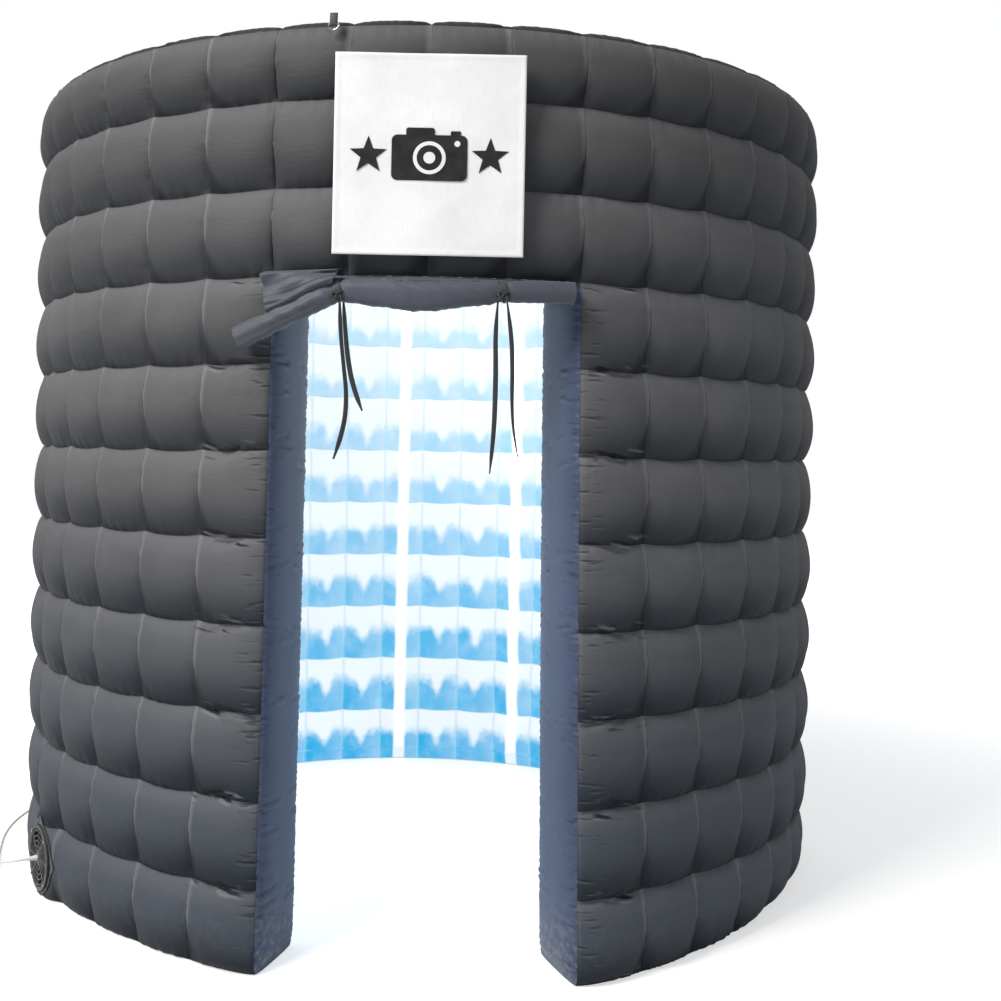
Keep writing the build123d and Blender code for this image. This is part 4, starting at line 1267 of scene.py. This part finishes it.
def build_door_curtain(context):
    count, per_turn = 130, 26
    line, ahead, out, up = roll_frame(count)
    far = np.linspace(0, 1, count)
    steps = ROLL_TURNS * per_turn
    turn = np.arange(steps + 1) / per_turn
    radius = ROLL_R[0] + (ROLL_R[1] - ROLL_R[0]) * turn / ROLL_TURNS
    angle = 2 * np.pi * turn + 0.5
    thin, belly, end = roll_size(far)
    outer = smooth((turn - ROLL_TURNS + 2.2) / 1.2)[None, :]
    f, a = far[:, None], angle[None, :]
    wrinkle = (0.0011 * ripple(f * ROLL_LENGTH + 0.03 * np.sin(a), 201, 0.02, 0.09)
               + 0.0010 * ripple(a * 0.02 + 0.3 * f, 205, 0.012, 0.06)
               + 0.0012 * ripple(f * ROLL_LENGTH + a * 0.012, 207, 0.018, 0.05)
               * sum(bell(f - place, 0.07) for place in WRAP_PLACES))
    r = radius[None, :] * thin[:, None] + wrinkle * (0.25 + 0.75 * outer)
    # The drooping end is loosely rolled: its outer layer has long creases.
    lie = (a - 2 * np.pi * (ROLL_TURNS - 1)) % (2 * np.pi)
    loose = smooth((0.29 - f) / 0.05)
    for place, width, deep in LOOSE_CREASES:
        r = r - deep * bell(lie - place, width) * loose * outer
    flat = 1 - 0.36 * end[:, None]
    across = r * np.cos(a) * (0.98 - 0.05 * belly[:, None]) * flat
    rise = r * np.sin(a) * (1.0 + 0.10 * end[:, None])
    rise = rise - belly[:, None] * 0.017 * smooth(-rise / 0.02)
    points = line[:, None] + across[..., None] * out[:, None] + rise[..., None] * up[:, None]
    cloth = np.stack(np.broadcast_arrays(f * ROLL_LENGTH, np.cumsum(radius)[None] * 0.24), -1)
    obj = grid_object("rolled_curtain", points, {"cloth": cloth})
    finish_piece(obj, "curtain_cloth", replaces=["door_curtain_roll"])

    # The header strip, sewn to the lintel and running down behind the roll.
    angles, t = np.meshgrid(np.linspace(-DOOR_HALF, HEADER_END, 181), np.linspace(0, 1, 15))
    z = SOFFIT_Z - 0.001 - 0.031 * t
    arc = np.radians(angles) * 1.25
    radius = OUTER_SEAM_R + 0.003 + 0.035 * smooth(t * 2.4) + 0.002 * t
    radius = radius + 0.0016 * ripple(arc, 211, 0.03, 0.12) * smooth(t * 1.6)
    radius = radius + 0.0018 * ripple(arc + 0.2 * t, 213, 0.012, 0.03) * bell(t - 0.3, 0.3)
    points = around(angles, radius, z + 0.002 * ripple(arc, 215, 0.05, 0.2) * t)
    obj = grid_object("header_strip", points[::-1], {"cloth": np.stack([arc, z], -1)[::-1]})
    add_modifier(obj, "SOLIDIFY", thickness=0.0009, offset=0)
    finish_piece(obj, "curtain_cloth", replaces=["curtain_header"])

    # The slack corner of the curtain between the header and the drooping end of the roll.
    s, t = np.meshgrid(np.linspace(0, 1, 61), np.linspace(0, 1, 41))
    high = around(-9.4 - 8.9 * s, 1.2600, SOFFIT_Z + 0.010 - 0.004 * s)
    index = (0.323 - 0.205 * s) * (count - 1)
    low = np.stack([np.interp(index, np.arange(count), (line + up * 0.019 + out * 0.004)[:, k])
                    for k in range(3)], -1)
    points = high + (low - high) * t[..., None]
    wide = np.linalg.norm(low - high, axis=-1)
    # Folds run out from the knot at the narrow end, like the ribs of a fan.
    lean = t + 0.10 * np.sin(3.0 * s + 4.0 * t)
    ribs = sum(depth * np.abs((lean - place) / width).clip(0, 1)
               for place, width, depth in SLACK_RIBS)
    crumple = 0.0040 * ripple(lean + 0.8 * s, 221, 0.5, 1.2) + 0.002 * ripple(s - t, 223, 0.3, 0.8)
    hold = smooth(t / 0.10) * smooth((1.04 - t) / 0.16) * smooth(wide / 0.05)
    outward = around(-14.0, 1.0, 0.0)
    points = points + outward * (np.maximum(ribs + crumple, 0.0) * hold + 0.002)[..., None]
    cloth = np.stack([s * 0.21, t * 0.12], -1)
    obj = grid_object("slack_curtain_corner", points[::-1], {"cloth": cloth[::-1]})
    add_modifier(obj, "SOLIDIFY", thickness=0.0009, offset=0)
    finish_piece(obj, "curtain_cloth")

    parts = []
    for place in WRAP_PLACES:
        i = int(round(place * (count - 1)))
        round_it = np.arange(41) / 40 * 2 * np.pi
        for shift, tilt, extra in ((-0.004, 0.12, 0.0), (0.005, -0.16, 0.0008)):
            size = WRAP_R + extra
            loop = (line[i] + ahead[i] * (shift + tilt * 0.02 * np.sin(round_it))[:, None]
                    + out[i] * (size * 0.97 * np.cos(round_it))[:, None]
                    + up[i] * (size * np.sin(round_it))[:, None])
            parts.append(swept_parts(loop, rounded_bar(0.012, 0.0011), ahead[i], cap=False))
        knot = line[i] + out[i] * (WRAP_R - 0.0002) - up[i] * 0.014
        k = np.arange(73) / 72 * 2 * np.pi
        tied = (knot + ahead[i] * (KNOT_R * (np.sin(k) + 1.6 * np.sin(2 * k)))[:, None]
                + up[i] * (KNOT_R * (np.cos(k) - 1.5 * np.cos(2 * k)))[:, None]
                - out[i] * (KNOT_R * 0.5 * np.sin(3 * k))[:, None])
        parts.append(swept_parts(tied, rounded_bar(0.0075, 0.0022), out[i], cap=False))
        for lean, reach in ((-1.0, 0.014), (1.0, 0.010)):
            u = np.linspace(0, 1, 14)[:, None]
            tail = (knot + ahead[i] * (lean * reach * np.sin(u * 1.6))
                    - up[i] * (0.012 * u ** 1.4) - out[i] * (0.006 * u))
            parts.append(swept_parts(tail, rounded_bar(0.010, 0.0010), ahead[i] + 0.3 * out[i]))
    obj = mesh_object("curtain_wraps", parts)
    finish_piece(obj, "tape_cloth", replaces=["tie_wraps"])


# ---- Sign ----

SIGN_W, SIGN_H, SIGN_Z = 0.455, 0.480, 1.989
SIGN_FAR = -1.2578
PRINT_RISE = 0.0016
HEM_W = 0.0155
CAMERA_Z = SIGN_Z - 0.008
CAMERA_TOP_Z = SIGN_Z + 0.050
# The camera's body, its hump and its button: half width, half height, corner, place, height.
CAMERA_BOXES = (
    ((0.090, 0.054, 0.014), 0.0, CAMERA_Z, 0.0004),
    ((0.034, 0.013, 0.006), -0.022, CAMERA_TOP_Z, 0.00035),
    ((0.012, 0.006, 0.003), 0.062, CAMERA_TOP_Z, 0.00035))
STAR_X, STAR_Z, STAR_R = 0.145, SIGN_Z - 0.004, 0.046
STRIP_X, STRIP_HALF, STRIP_Z = 0.110, 0.0125, (1.769, 2.209)
STRIP_FRONT, STRIP_BACK_R = -1.2548, 1.2498


def sign_wave(x, z):
    return 0.0006 * ripple(x + 0.4 * z, 301, 0.16, 0.5) + 0.0003 * ripple(z, 303, 0.1, 0.4)


def plate(outline, x0, z0, scale, level, parts):
    """A thin raised print with the given outline, following the sign."""
    flat = np.asarray(outline, float) * scale
    x, z = flat[:, 0] + x0, flat[:, 1] + z0
    y = SIGN_FAR + sign_wave(x, z)
    n = len(flat)
    front = np.stack([x, np.full_like(x, SIGN_FAR - PRINT_RISE - level), z], -1)
    back = np.stack([x, y, z], -1)
    faces = [tuple(range(n))]
    faces += [(i, i + n, (i + 1) % n + n, (i + 1) % n) for i in range(n)]
    parts.append((np.concatenate([front, back]), faces))


def rounded_outline(half_w, half_h, r, steps=6):
    places = []
    for cx, cz, first in ((1, -1, -90), (1, 1, 0), (-1, 1, 90), (-1, -1, 180)):
        for k in range(steps + 1):
            a = math.radians(first + 90 * k / steps)
            places.append((cx * (half_w - r) + r * math.cos(a),
                           cz * (half_h - r) + r * math.sin(a)))
    return places


def star_outline(points=5, inner=0.42):
    return [((1.0 if k % 2 == 0 else inner) * math.sin(math.pi * k / points),
             (1.0 if k % 2 == 0 else inner) * math.cos(math.pi * k / points))
            for k in range(2 * points)][::-1]


def build_sign(context):
    x, z = np.meshgrid(np.linspace(-SIGN_W / 2, SIGN_W / 2, 92),
                       np.linspace(SIGN_Z - SIGN_H / 2, SIGN_Z + SIGN_H / 2, 97))
    edge = np.minimum(SIGN_W / 2 - np.abs(x), SIGN_H / 2 - np.abs(z - SIGN_Z))
    hem = 0.0007 * (smooth((HEM_W - edge) / 0.004) - 0.6 * bell(edge - 0.0165, 0.0025))
    y = SIGN_FAR + sign_wave(x, z) - hem + 0.0004 * ripple(x + z, 305, 0.008, 0.02) * bell(
        edge - 0.016, 0.004)
    obj = grid_object("sign_banner", np.stack([x, y, z], -1), {"cloth": np.stack([x, z], -1)})
    add_modifier(obj, "SOLIDIFY", thickness=0.0016, offset=-1)
    finish_piece(obj, "banner_cloth", body="banner_sheet",
                 replaces=["banner"])
    black, white = [], []
    lens = [(math.cos(a), math.sin(a)) for a in np.arange(48) / 48 * 2 * np.pi]
    for box, x0, z0, level in CAMERA_BOXES:
        plate(rounded_outline(*box), x0, z0, 1.0, level, black)
    for radius, level, prints in ((0.039, 0.0006, white), (0.030, 0.0008, black),
                                  (0.014, 0.0010, white)):
        plate(lens, 0.0, CAMERA_Z, radius, level, prints)
    plate(lens, 0.066, SIGN_Z + 0.026, 0.007, 0.0006, white)
    for side in (-1, 1):
        plate(star_outline(), side * STAR_X, STAR_Z, STAR_R, 0.0004, black)
    for name, parts, finish in (("sign_print", black, "print_black"),
                                ("sign_print_light", white, "banner_cloth")):
        made = mesh_object(name, parts)
        made.data.polygons.foreach_set("use_smooth", np.zeros(len(made.data.polygons), bool))
        made.data.uv_layers.new(name="cloth")
        finish_piece(made, finish, body="banner_sheet")

    parts = []
    for side in (-1, 1):
        x, z = np.meshgrid(side * STRIP_X + np.linspace(-STRIP_HALF, STRIP_HALF, 9),
                           np.linspace(*STRIP_Z, 90))
        fuzz = draws(311 + side, *x.shape) * 0.0006
        front = np.stack([x, np.full_like(x, STRIP_FRONT) - fuzz + 0.0006, z], -1)
        back = np.stack([x, -np.sqrt(STRIP_BACK_R ** 2 - x ** 2), z], -1)
        number = np.arange(x.size).reshape(x.shape)
        quads = quads_of(number).reshape(-1, 4)
        faces = quads.tolist() + (quads[:, ::-1] + x.size).tolist()
        rim = np.concatenate([number[0, :-1], number[:-1, -1], number[-1, :0:-1],
                              number[:0:-1, 0]])
        faces += [(a, a + x.size, b + x.size, b) for a, b in zip(rim, np.roll(rim, -1))]
        parts.append((np.concatenate([front.reshape(-1, 3), back.reshape(-1, 3)]), faces))
    obj = mesh_object("sign_loop_strips", parts)
    finish_piece(obj, "tape_cloth", replaces=["banner_loop_strips"])


# ---- Blower ----

def beside(angle, out, across, z):
    """Points out from the axis and sideways of an angle, where a fitting's middle is."""
    u, t = around(angle, 1.0, 0.0), np.cross(WORLD_UP, around(angle, 1.0, 0.0))
    out, across, z = np.broadcast_arrays(out, across, z)
    return out[..., None] * u + across[..., None] * t + z[..., None] * WORLD_UP


PATCH_R = 1.2518
PATCH_HOLE_R = 0.0845
PATCH_LEAST_R = 0.0955


def build_blower(context):
    keep_nodes({
        "blower_housing": ("black_plastic", 0.0006),
        "blower_guard": ("guard_plastic", 0.0006),
        "blower_screws": ("steel", 0.0006),
        "blower_motor": ("motor_metal", 0.0015),
        "blower_struts": ("black_plastic", 0.0008),
        "blower_impeller": ("black_plastic", 0.0005),
        "check_flap": ("black_cable", 0.0005),
        "check_flap_pin": ("steel", 0.0003),
    })
    phi = np.arange(96) / 96 * 2 * np.pi
    diamond = 0.1145 / (np.abs(np.cos(phi)) ** 1.15 + np.abs(np.sin(phi)) ** 1.15)
    diamond = np.maximum(diamond, PATCH_LEAST_R)
    t = np.linspace(0, 1, 10)[:, None]
    r = PATCH_HOLE_R + (diamond[None, :] - PATCH_HOLE_R) * t
    across, z = r * np.cos(phi), np.maximum(BLOWER_Z + r * np.sin(phi), 0.0042)
    flat = np.sqrt(PATCH_R ** 2 - across ** 2) - 0.0002
    out = flat + 0.0005 * ripple(phi * 0.1, 401, 0.01, 0.04) * smooth(t * 2)
    points = beside(BLOWER_ANGLE, out, across, z)
    obj = grid_object("blower_patch", points[::-1],
                      {"cloth": np.stack([across, z], -1)[::-1]}, wrap=True)
    add_modifier(obj, "SOLIDIFY", thickness=0.0012, offset=0)
    finish_piece(obj, "patch_cloth", replaces=["blower_collar"])
    rim = beside(BLOWER_ANGLE, out[-1] + 0.0008, across[-1], z[-1])
    rim = np.concatenate([rim, rim[:1]])
    binding = mesh_object("blower_patch_binding", [swept_parts(
        rim, rounded_bar(0.0075, 0.0022),
        rim - beside(BLOWER_ANGLE, PATCH_R, 0.0, BLOWER_Z), cap=False)])
    finish_piece(binding, "tape_cloth")


# ---- Deflation zip and its cover ----

ZIP_TAPE_R = 1.2508
ZIP_COVER_R = 1.2600
ZIP_BATTEN_R = 1.2541
TOOTH_PITCH = 0.0026
TOOTH_BEND = np.array([[0.0042, -0.0006], [0.0018, 0.0010], [-0.0012, 0.0008]])


def build_deflation_zip(context):
    parts, teeth = [], []
    z = np.linspace(*ZIP_TAPE_Z, 105)
    for side in (-1, 1):
        line = beside(ZIP_ANGLE, ZIP_TAPE_R, side * 0.0098, z)
        parts.append(swept_parts(line, rounded_bar(0.0145, 0.0012),
                                 beside(ZIP_ANGLE, 0.0, 1.0, 0.0)))
        for k in range(200):
            level = 0.2525 + k * TOOTH_PITCH + (TOOTH_PITCH / 2 if side > 0 else 0.0)
            line = beside(ZIP_ANGLE, 1.2511 + TOOTH_BEND[:, 1], side * TOOTH_BEND[:, 0], level)
            teeth.append(swept_parts(line, circle(0.00075, 5), WORLD_UP))
    tape = mesh_object("zip_tape", parts)
    finish_piece(tape, "web_cloth", replaces=["deflation_zip"])
    tape.data.uv_layers.new(name="cloth")
    teeth = mesh_object("zip_teeth", teeth)
    finish_piece(teeth, "black_plastic")
    keep_nodes({"zip_slider": ("brass", 0.0009)})

    across, z = np.meshgrid(np.linspace(-ZIP_COVER_HALF, ZIP_COVER_HALF, 29),
                            np.linspace(*ZIP_COVER_Z, 160))
    free = smooth((across + 0.022) / 0.05)
    edge = np.minimum(ZIP_COVER_HALF - np.abs(across),
                      np.minimum(z - ZIP_COVER_Z[0], ZIP_COVER_Z[1] - z))
    out = ZIP_COVER_R + 0.0014 * ripple(z, 501, 0.05, 0.2) * free + 0.0006 * smooth(
        (0.007 - edge) / 0.002) + 0.0005 * ripple(across + z, 503, 0.02, 0.06)
    points = beside(ZIP_ANGLE, out, across, z)
    obj = grid_object("zip_cover_flap", points, {"cloth": np.stack([across, z], -1)})
    add_modifier(obj, "SOLIDIFY", thickness=0.0012, offset=0)
    finish_piece(obj, "curtain_cloth", body="cover", replaces=["zip_cover"])
    z = np.linspace(*ZIP_COVER_Z, 120)
    line = beside(ZIP_ANGLE, ZIP_BATTEN_R + 0.0003 * ripple(z, 505, 0.02, 0.05), -0.0300, z)
    batten = mesh_object("zip_cover_batten", [swept_parts(
        line, rounded_bar(0.0098, 0.0086, 5), beside(ZIP_ANGLE, 0.0, 1.0, 0.0))])
    finish_piece(batten, "tape_cloth", replaces=["zip_cover_seam"])


# ---- Anchor rings ----

RING_BAR = (1.2550, 2.3020)
TAB_BEND_R = 0.0031
# The tab's two sewn legs, by radius and height: down to the ring's bar and back up behind it.
TAB_OUTER_LEG = ((1.2512, 2.3305), (1.2560, 2.3290), (1.2578, 2.3200), (1.2581, 2.3100))
TAB_INNER_LEG = ((1.2518, 2.3100), (1.2508, 2.3200), (1.2502, 2.3300))


def build_anchor_rings(context):
    keep_nodes({"anchor_ring_front": ("steel", 0.0), "anchor_ring_back": ("steel", 0.0)})
    parts = []
    for angle in RING_ANGLES:
        bottom = [(RING_BAR[0] + TAB_BEND_R * math.cos(t), RING_BAR[1] + TAB_BEND_R * math.sin(t))
                  for t in np.linspace(0.0, -math.pi, 13)]
        x, z = np.array([*TAB_OUTER_LEG, *bottom, *TAB_INNER_LEG]).T
        line = beside(angle, x, 0.0, z)
        parts.append(swept_parts(line, rounded_bar(0.018, 0.0013),
                                 beside(angle, 0.0, 1.0, 0.0)))
    obj = mesh_object("anchor_webbing", parts)
    finish_piece(obj, "tape_cloth", replaces=["anchor_tabs"])


# ---- Stage ----

def build_stage(context):
    scene = context.scene
    view = scene.booth_view
    scene.view_settings.view_transform = "Standard"
    world = bpy.data.worlds.new("studio")
    scene.world = world
    world.use_nodes = True
    w = Wiring(world.node_tree)
    back = world.node_tree.nodes["Background"]
    output = world.node_tree.nodes["World Output"]
    back.inputs[0].default_value = (0.93, 0.96, 1.0, 1.0)
    back.inputs[1].default_value = view.sky
    bright = w.node("ShaderNodeBackground")
    bright.inputs[0].default_value = (1.0, 1.0, 1.0, 1.0)
    mixer = w.node("ShaderNodeMixShader")
    w.feed(mixer.inputs[0], w.node("ShaderNodeLightPath").outputs["Is Camera Ray"])
    w.feed(mixer.inputs[1], back.outputs[0])
    w.feed(mixer.inputs[2], bright.outputs[0])
    w.feed(output.inputs[0], mixer.outputs[0])

    x, y = np.meshgrid(np.linspace(-14, 14, 15), np.linspace(-14, 14, 15))
    floor = grid_object("floor", np.stack([x, y, np.zeros_like(x)], -1))
    w, shader = new_material("pale_floor")
    shader["Base Color"].default_value = (0.80, 0.80, 0.80, 1.0)
    shader["Roughness"].default_value = 0.9
    seen = w.node("ShaderNodeLightPath").outputs["Is Camera Ray"]
    away = w.node("ShaderNodeVectorMath", operation="LENGTH")
    w.feed(away.inputs[0], w.place())
    w.feed(shader["Emission Strength"], w.times(seen, w.span(
        away.outputs["Value"], 1.6, 5.5, view.floor, 1.0)))
    shader["Emission Color"].default_value = (1.0, 1.0, 1.0, 1.0)
    floor.data.materials.append(bpy.data.materials["pale_floor"])

    for name, place, size, power, colour in (
            ("key_light", (-4.2, -4.6, 6.4), 3.0, view.key, (1.0, 0.98, 0.96)),
            ("fill_light", (5.0, -5.0, 2.8), 4.0, view.fill, (0.9, 0.95, 1.0)),
            ("back_light", (0.5, 6.0, 5.0), 4.0, view.fill, (1.0, 1.0, 1.0))):
        lamp = bpy.data.lights.new(name, "AREA")
        lamp.shape, lamp.size, lamp.energy, lamp.color = "SQUARE", size, power, colour
        obj = link(name, lamp)
        obj.location = place
        aim = Vector((0, 0, 1.1)) - Vector(place)
        obj.rotation_mode = "QUATERNION"
        obj.rotation_quaternion = aim.to_track_quat("-Z", "Y")

    camera = bpy.data.cameras.new("camera")
    camera.lens = view.lens
    camera.shift_x, camera.shift_y = view.shift_x, view.shift_y
    camera.clip_end = 100.0
    obj = link("camera", camera)
    obj.matrix_world = (
        Matrix.Translation((0.0, -view.distance, view.height))
        @ Matrix.Rotation(math.pi / 2, 4, "X") @ Matrix.Rotation(view.roll, 4, "Z"))
    scene.camera = obj


# ---- Properties, operators and panel ----

def length(title, words, value):
    return bpy.props.FloatProperty(name=title, description=words, default=value, unit="LENGTH")


def plain(title, words, value):
    return bpy.props.FloatProperty(name=title, description=words, default=value, precision=4)


def colour(title, words, value):
    return bpy.props.FloatVectorProperty(
        name=title, description=words, default=value, subtype="COLOR", size=3, min=0.0, max=1.0)


class BoothView(bpy.types.PropertyGroup):
    """The studio's camera and light."""
    distance: length("Distance", "From the camera to the booth's axis", 4.298)
    height: length("Height", "Camera height above the floor", 1.301)
    lens: plain("Lens", "Focal length in millimetres", 46.06)
    shift_x: plain("Shift X", "Sideways shift of the lens", 0.0769)
    shift_y: plain("Shift Y", "Upward shift of the lens", -0.0561)
    roll: plain("Roll", "Turn of the camera about its line of sight, in radians", 0.0201)
    sky: plain("Sky", "Brightness of the light from all round", 0.30)
    floor: plain("Floor", "How much brighter than its own shade the floor is shown", 0.55)
    key: plain("Key Light", "Power of the main light in watts", 620.0)
    fill: plain("Fill Light", "Power of the side and back lights in watts", 60.0)


class BoothColours(bpy.types.PropertyGroup):
    """The cloths' colours, the painted shade tints of the outer cloth, and how strongly the lining
    glows.
    """
    wall: colour("Wall", "Outer cloth", (0.112, 0.112, 0.116))
    wall_foot_shade: colour("Wall Foot Shade", "Painted bluish shade on the outer cloth near the floor", (0.050, 0.066, 0.088))
    wall_head_shade: colour("Wall Head Shade", "Painted warm shade on the outer cloth near the top", (0.062, 0.060, 0.060))
    jamb: colour("Jamb", "Cloth beside the doorway", (0.058, 0.080, 0.145))
    curtain: colour("Curtain", "Rolled curtain and its header", (0.070, 0.078, 0.102))
    banner: colour("Banner", "Sign cloth", (0.92, 0.92, 0.92))
    lining: colour("Lining", "Upper part of a lit cell", (0.93, 0.98, 1.0))
    glow: colour("Glow", "Lower part of a lit cell", (0.0, 0.40, 0.78))
    lining_glow: plain("Lining Glow", "Strength of the lining's light", 0.80)
    strip_glow: plain("Strip Glow", "Strength of the light strips", 1.5)


class BoothWall(bpy.types.PropertyGroup):
    """How finely the quilted wall is made."""
    outer_steps: bpy.props.IntProperty(
        name="Outer Steps", description="Quads across one outer cell", default=24, min=6, max=40)
    inner_steps: bpy.props.IntProperty(
        name="Inner Steps", description="Quads across one inner cell", default=16, min=6, max=40)
    shared_steps: bpy.props.IntProperty(
        name="Shared Steps", description="Quads across one cell of the wall ends and top, "
        "a multiple of both skins' steps", default=48, min=6, max=96)


class BoothLead(bpy.types.PropertyGroup):
    """The mains lead."""
    length: length("Length", "Whole length of the mains lead, its coil included", 2.88)


class Builds:
    """What every operator does: it builds its own pieces."""

    def execute(self, context):
        self.build(context)
        return {"FINISHED"}


class BOOTH_OT_studio(Builds, bpy.types.Operator):
    """Make the floor, the lights and the camera"""
    bl_idname = "booth.studio"
    bl_label = "Studio"
    build = staticmethod(build_stage)


class BOOTH_OT_finishes(Builds, bpy.types.Operator):
    """Make every cloth, plastic and metal finish"""
    bl_idname = "booth.finishes"
    bl_label = "Finishes"
    build = staticmethod(make_materials)


class BOOTH_OT_outer_skins(Builds, bpy.types.Operator):
    """Make the quilted outer skin panels"""
    bl_idname = "booth.outer_skins"
    bl_label = "Outer Skins"
    build = staticmethod(build_outer_skins)


class BOOTH_OT_inner_skins(Builds, bpy.types.Operator):
    """Make the quilted, lit lining panels"""
    bl_idname = "booth.inner_skins"
    bl_label = "Inner Skins"
    build = staticmethod(build_inner_skins)


class BOOTH_OT_wall_ends(Builds, bpy.types.Operator):
    """Make the padded wall ends beside the doorway and the lintel's underside"""
    bl_idname = "booth.wall_ends"
    bl_label = "Wall Ends"
    build = staticmethod(build_wall_ends)


class BOOTH_OT_cap_and_base(Builds, bpy.types.Operator):
    """Make the quilted top and the sewn base"""
    bl_idname = "booth.cap_and_base"
    bl_label = "Top And Base"
    build = staticmethod(build_cap_and_base)


class BOOTH_OT_tethers(Builds, bpy.types.Operator):
    """Make the webs inside the wall"""
    bl_idname = "booth.tethers"
    bl_label = "Inner Webs"
    build = staticmethod(build_tethers)


class BOOTH_OT_light_strips(Builds, bpy.types.Operator):
    """Make the light strips and their loops"""
    bl_idname = "booth.light_strips"
    bl_label = "Light Strips"
    build = staticmethod(build_light_strips)


class BOOTH_OT_light_controller(Builds, bpy.types.Operator):
    """Finish the light controller and its lead"""
    bl_idname = "booth.light_controller"
    bl_label = "Light Controller"
    build = staticmethod(build_light_controller)


class BOOTH_OT_mains_lead(Builds, bpy.types.Operator):
    """Make the mains lead, its coil and its plug"""
    bl_idname = "booth.mains_lead"
    bl_label = "Mains Lead"
    build = staticmethod(build_mains_lead)


class BOOTH_OT_ties(Builds, bpy.types.Operator):
    """Make the hanging ends of the curtain's ties"""
    bl_idname = "booth.ties"
    bl_label = "Curtain Ties"
    build = staticmethod(build_ties)


class BOOTH_OT_door_curtain(Builds, bpy.types.Operator):
    """Make the rolled curtain, its header, slack corner and wraps"""
    bl_idname = "booth.door_curtain"
    bl_label = "Door Curtain"
    build = staticmethod(build_door_curtain)


class BOOTH_OT_sign(Builds, bpy.types.Operator):
    """Make the sign banner, its print and its loop strips"""
    bl_idname = "booth.sign"
    bl_label = "Sign"
    build = staticmethod(build_sign)


class BOOTH_OT_blower(Builds, bpy.types.Operator):
    """Finish the blower and make its patch"""
    bl_idname = "booth.blower"
    bl_label = "Blower"
    build = staticmethod(build_blower)


class BOOTH_OT_deflation_zip(Builds, bpy.types.Operator):
    """Make the zip, its batten and its cover"""
    bl_idname = "booth.deflation_zip"
    bl_label = "Deflation Zip"
    build = staticmethod(build_deflation_zip)


class BOOTH_OT_anchor_rings(Builds, bpy.types.Operator):
    """Make the webbing tabs and finish their rings"""
    bl_idname = "booth.anchor_rings"
    bl_label = "Anchor Rings"
    build = staticmethod(build_anchor_rings)


OPERATORS = (
    BOOTH_OT_studio, BOOTH_OT_finishes, BOOTH_OT_mains_lead, BOOTH_OT_ties,
    BOOTH_OT_outer_skins, BOOTH_OT_inner_skins, BOOTH_OT_wall_ends, BOOTH_OT_cap_and_base,
    BOOTH_OT_tethers, BOOTH_OT_light_strips, BOOTH_OT_light_controller, BOOTH_OT_sign,
    BOOTH_OT_door_curtain, BOOTH_OT_blower, BOOTH_OT_deflation_zip, BOOTH_OT_anchor_rings,
)


class BOOTH_PT_sidebar(bpy.types.Panel):
    """Lists the booth's pieces"""
    bl_label = "Photo Booth"
    bl_idname = "BOOTH_PT_sidebar"
    bl_space_type = "VIEW_3D"
    bl_region_type = "UI"
    bl_category = "Booth"

    def draw(self, context):
        for made in OPERATORS:
            self.layout.operator(made.bl_idname)


SETTINGS = {"booth_view": BoothView, "booth_colours": BoothColours, "booth_wall": BoothWall,
            "booth_lead": BoothLead}
CLASSES = (*SETTINGS.values(), *OPERATORS, BOOTH_PT_sidebar)


def register():
    for made in CLASSES:
        bpy.utils.register_class(made)
    for name, made in SETTINGS.items():
        setattr(bpy.types.Scene, name, bpy.props.PointerProperty(type=made))


def unregister():
    for name in SETTINGS:
        delattr(bpy.types.Scene, name)
    for made in reversed(CLASSES):
        bpy.utils.unregister_class(made)


def main():
    register()
    for made in OPERATORS:
        group, name = made.bl_idname.split(".")
        getattr(getattr(bpy.ops, group), name)()


if __name__ == "__main__":
    main()
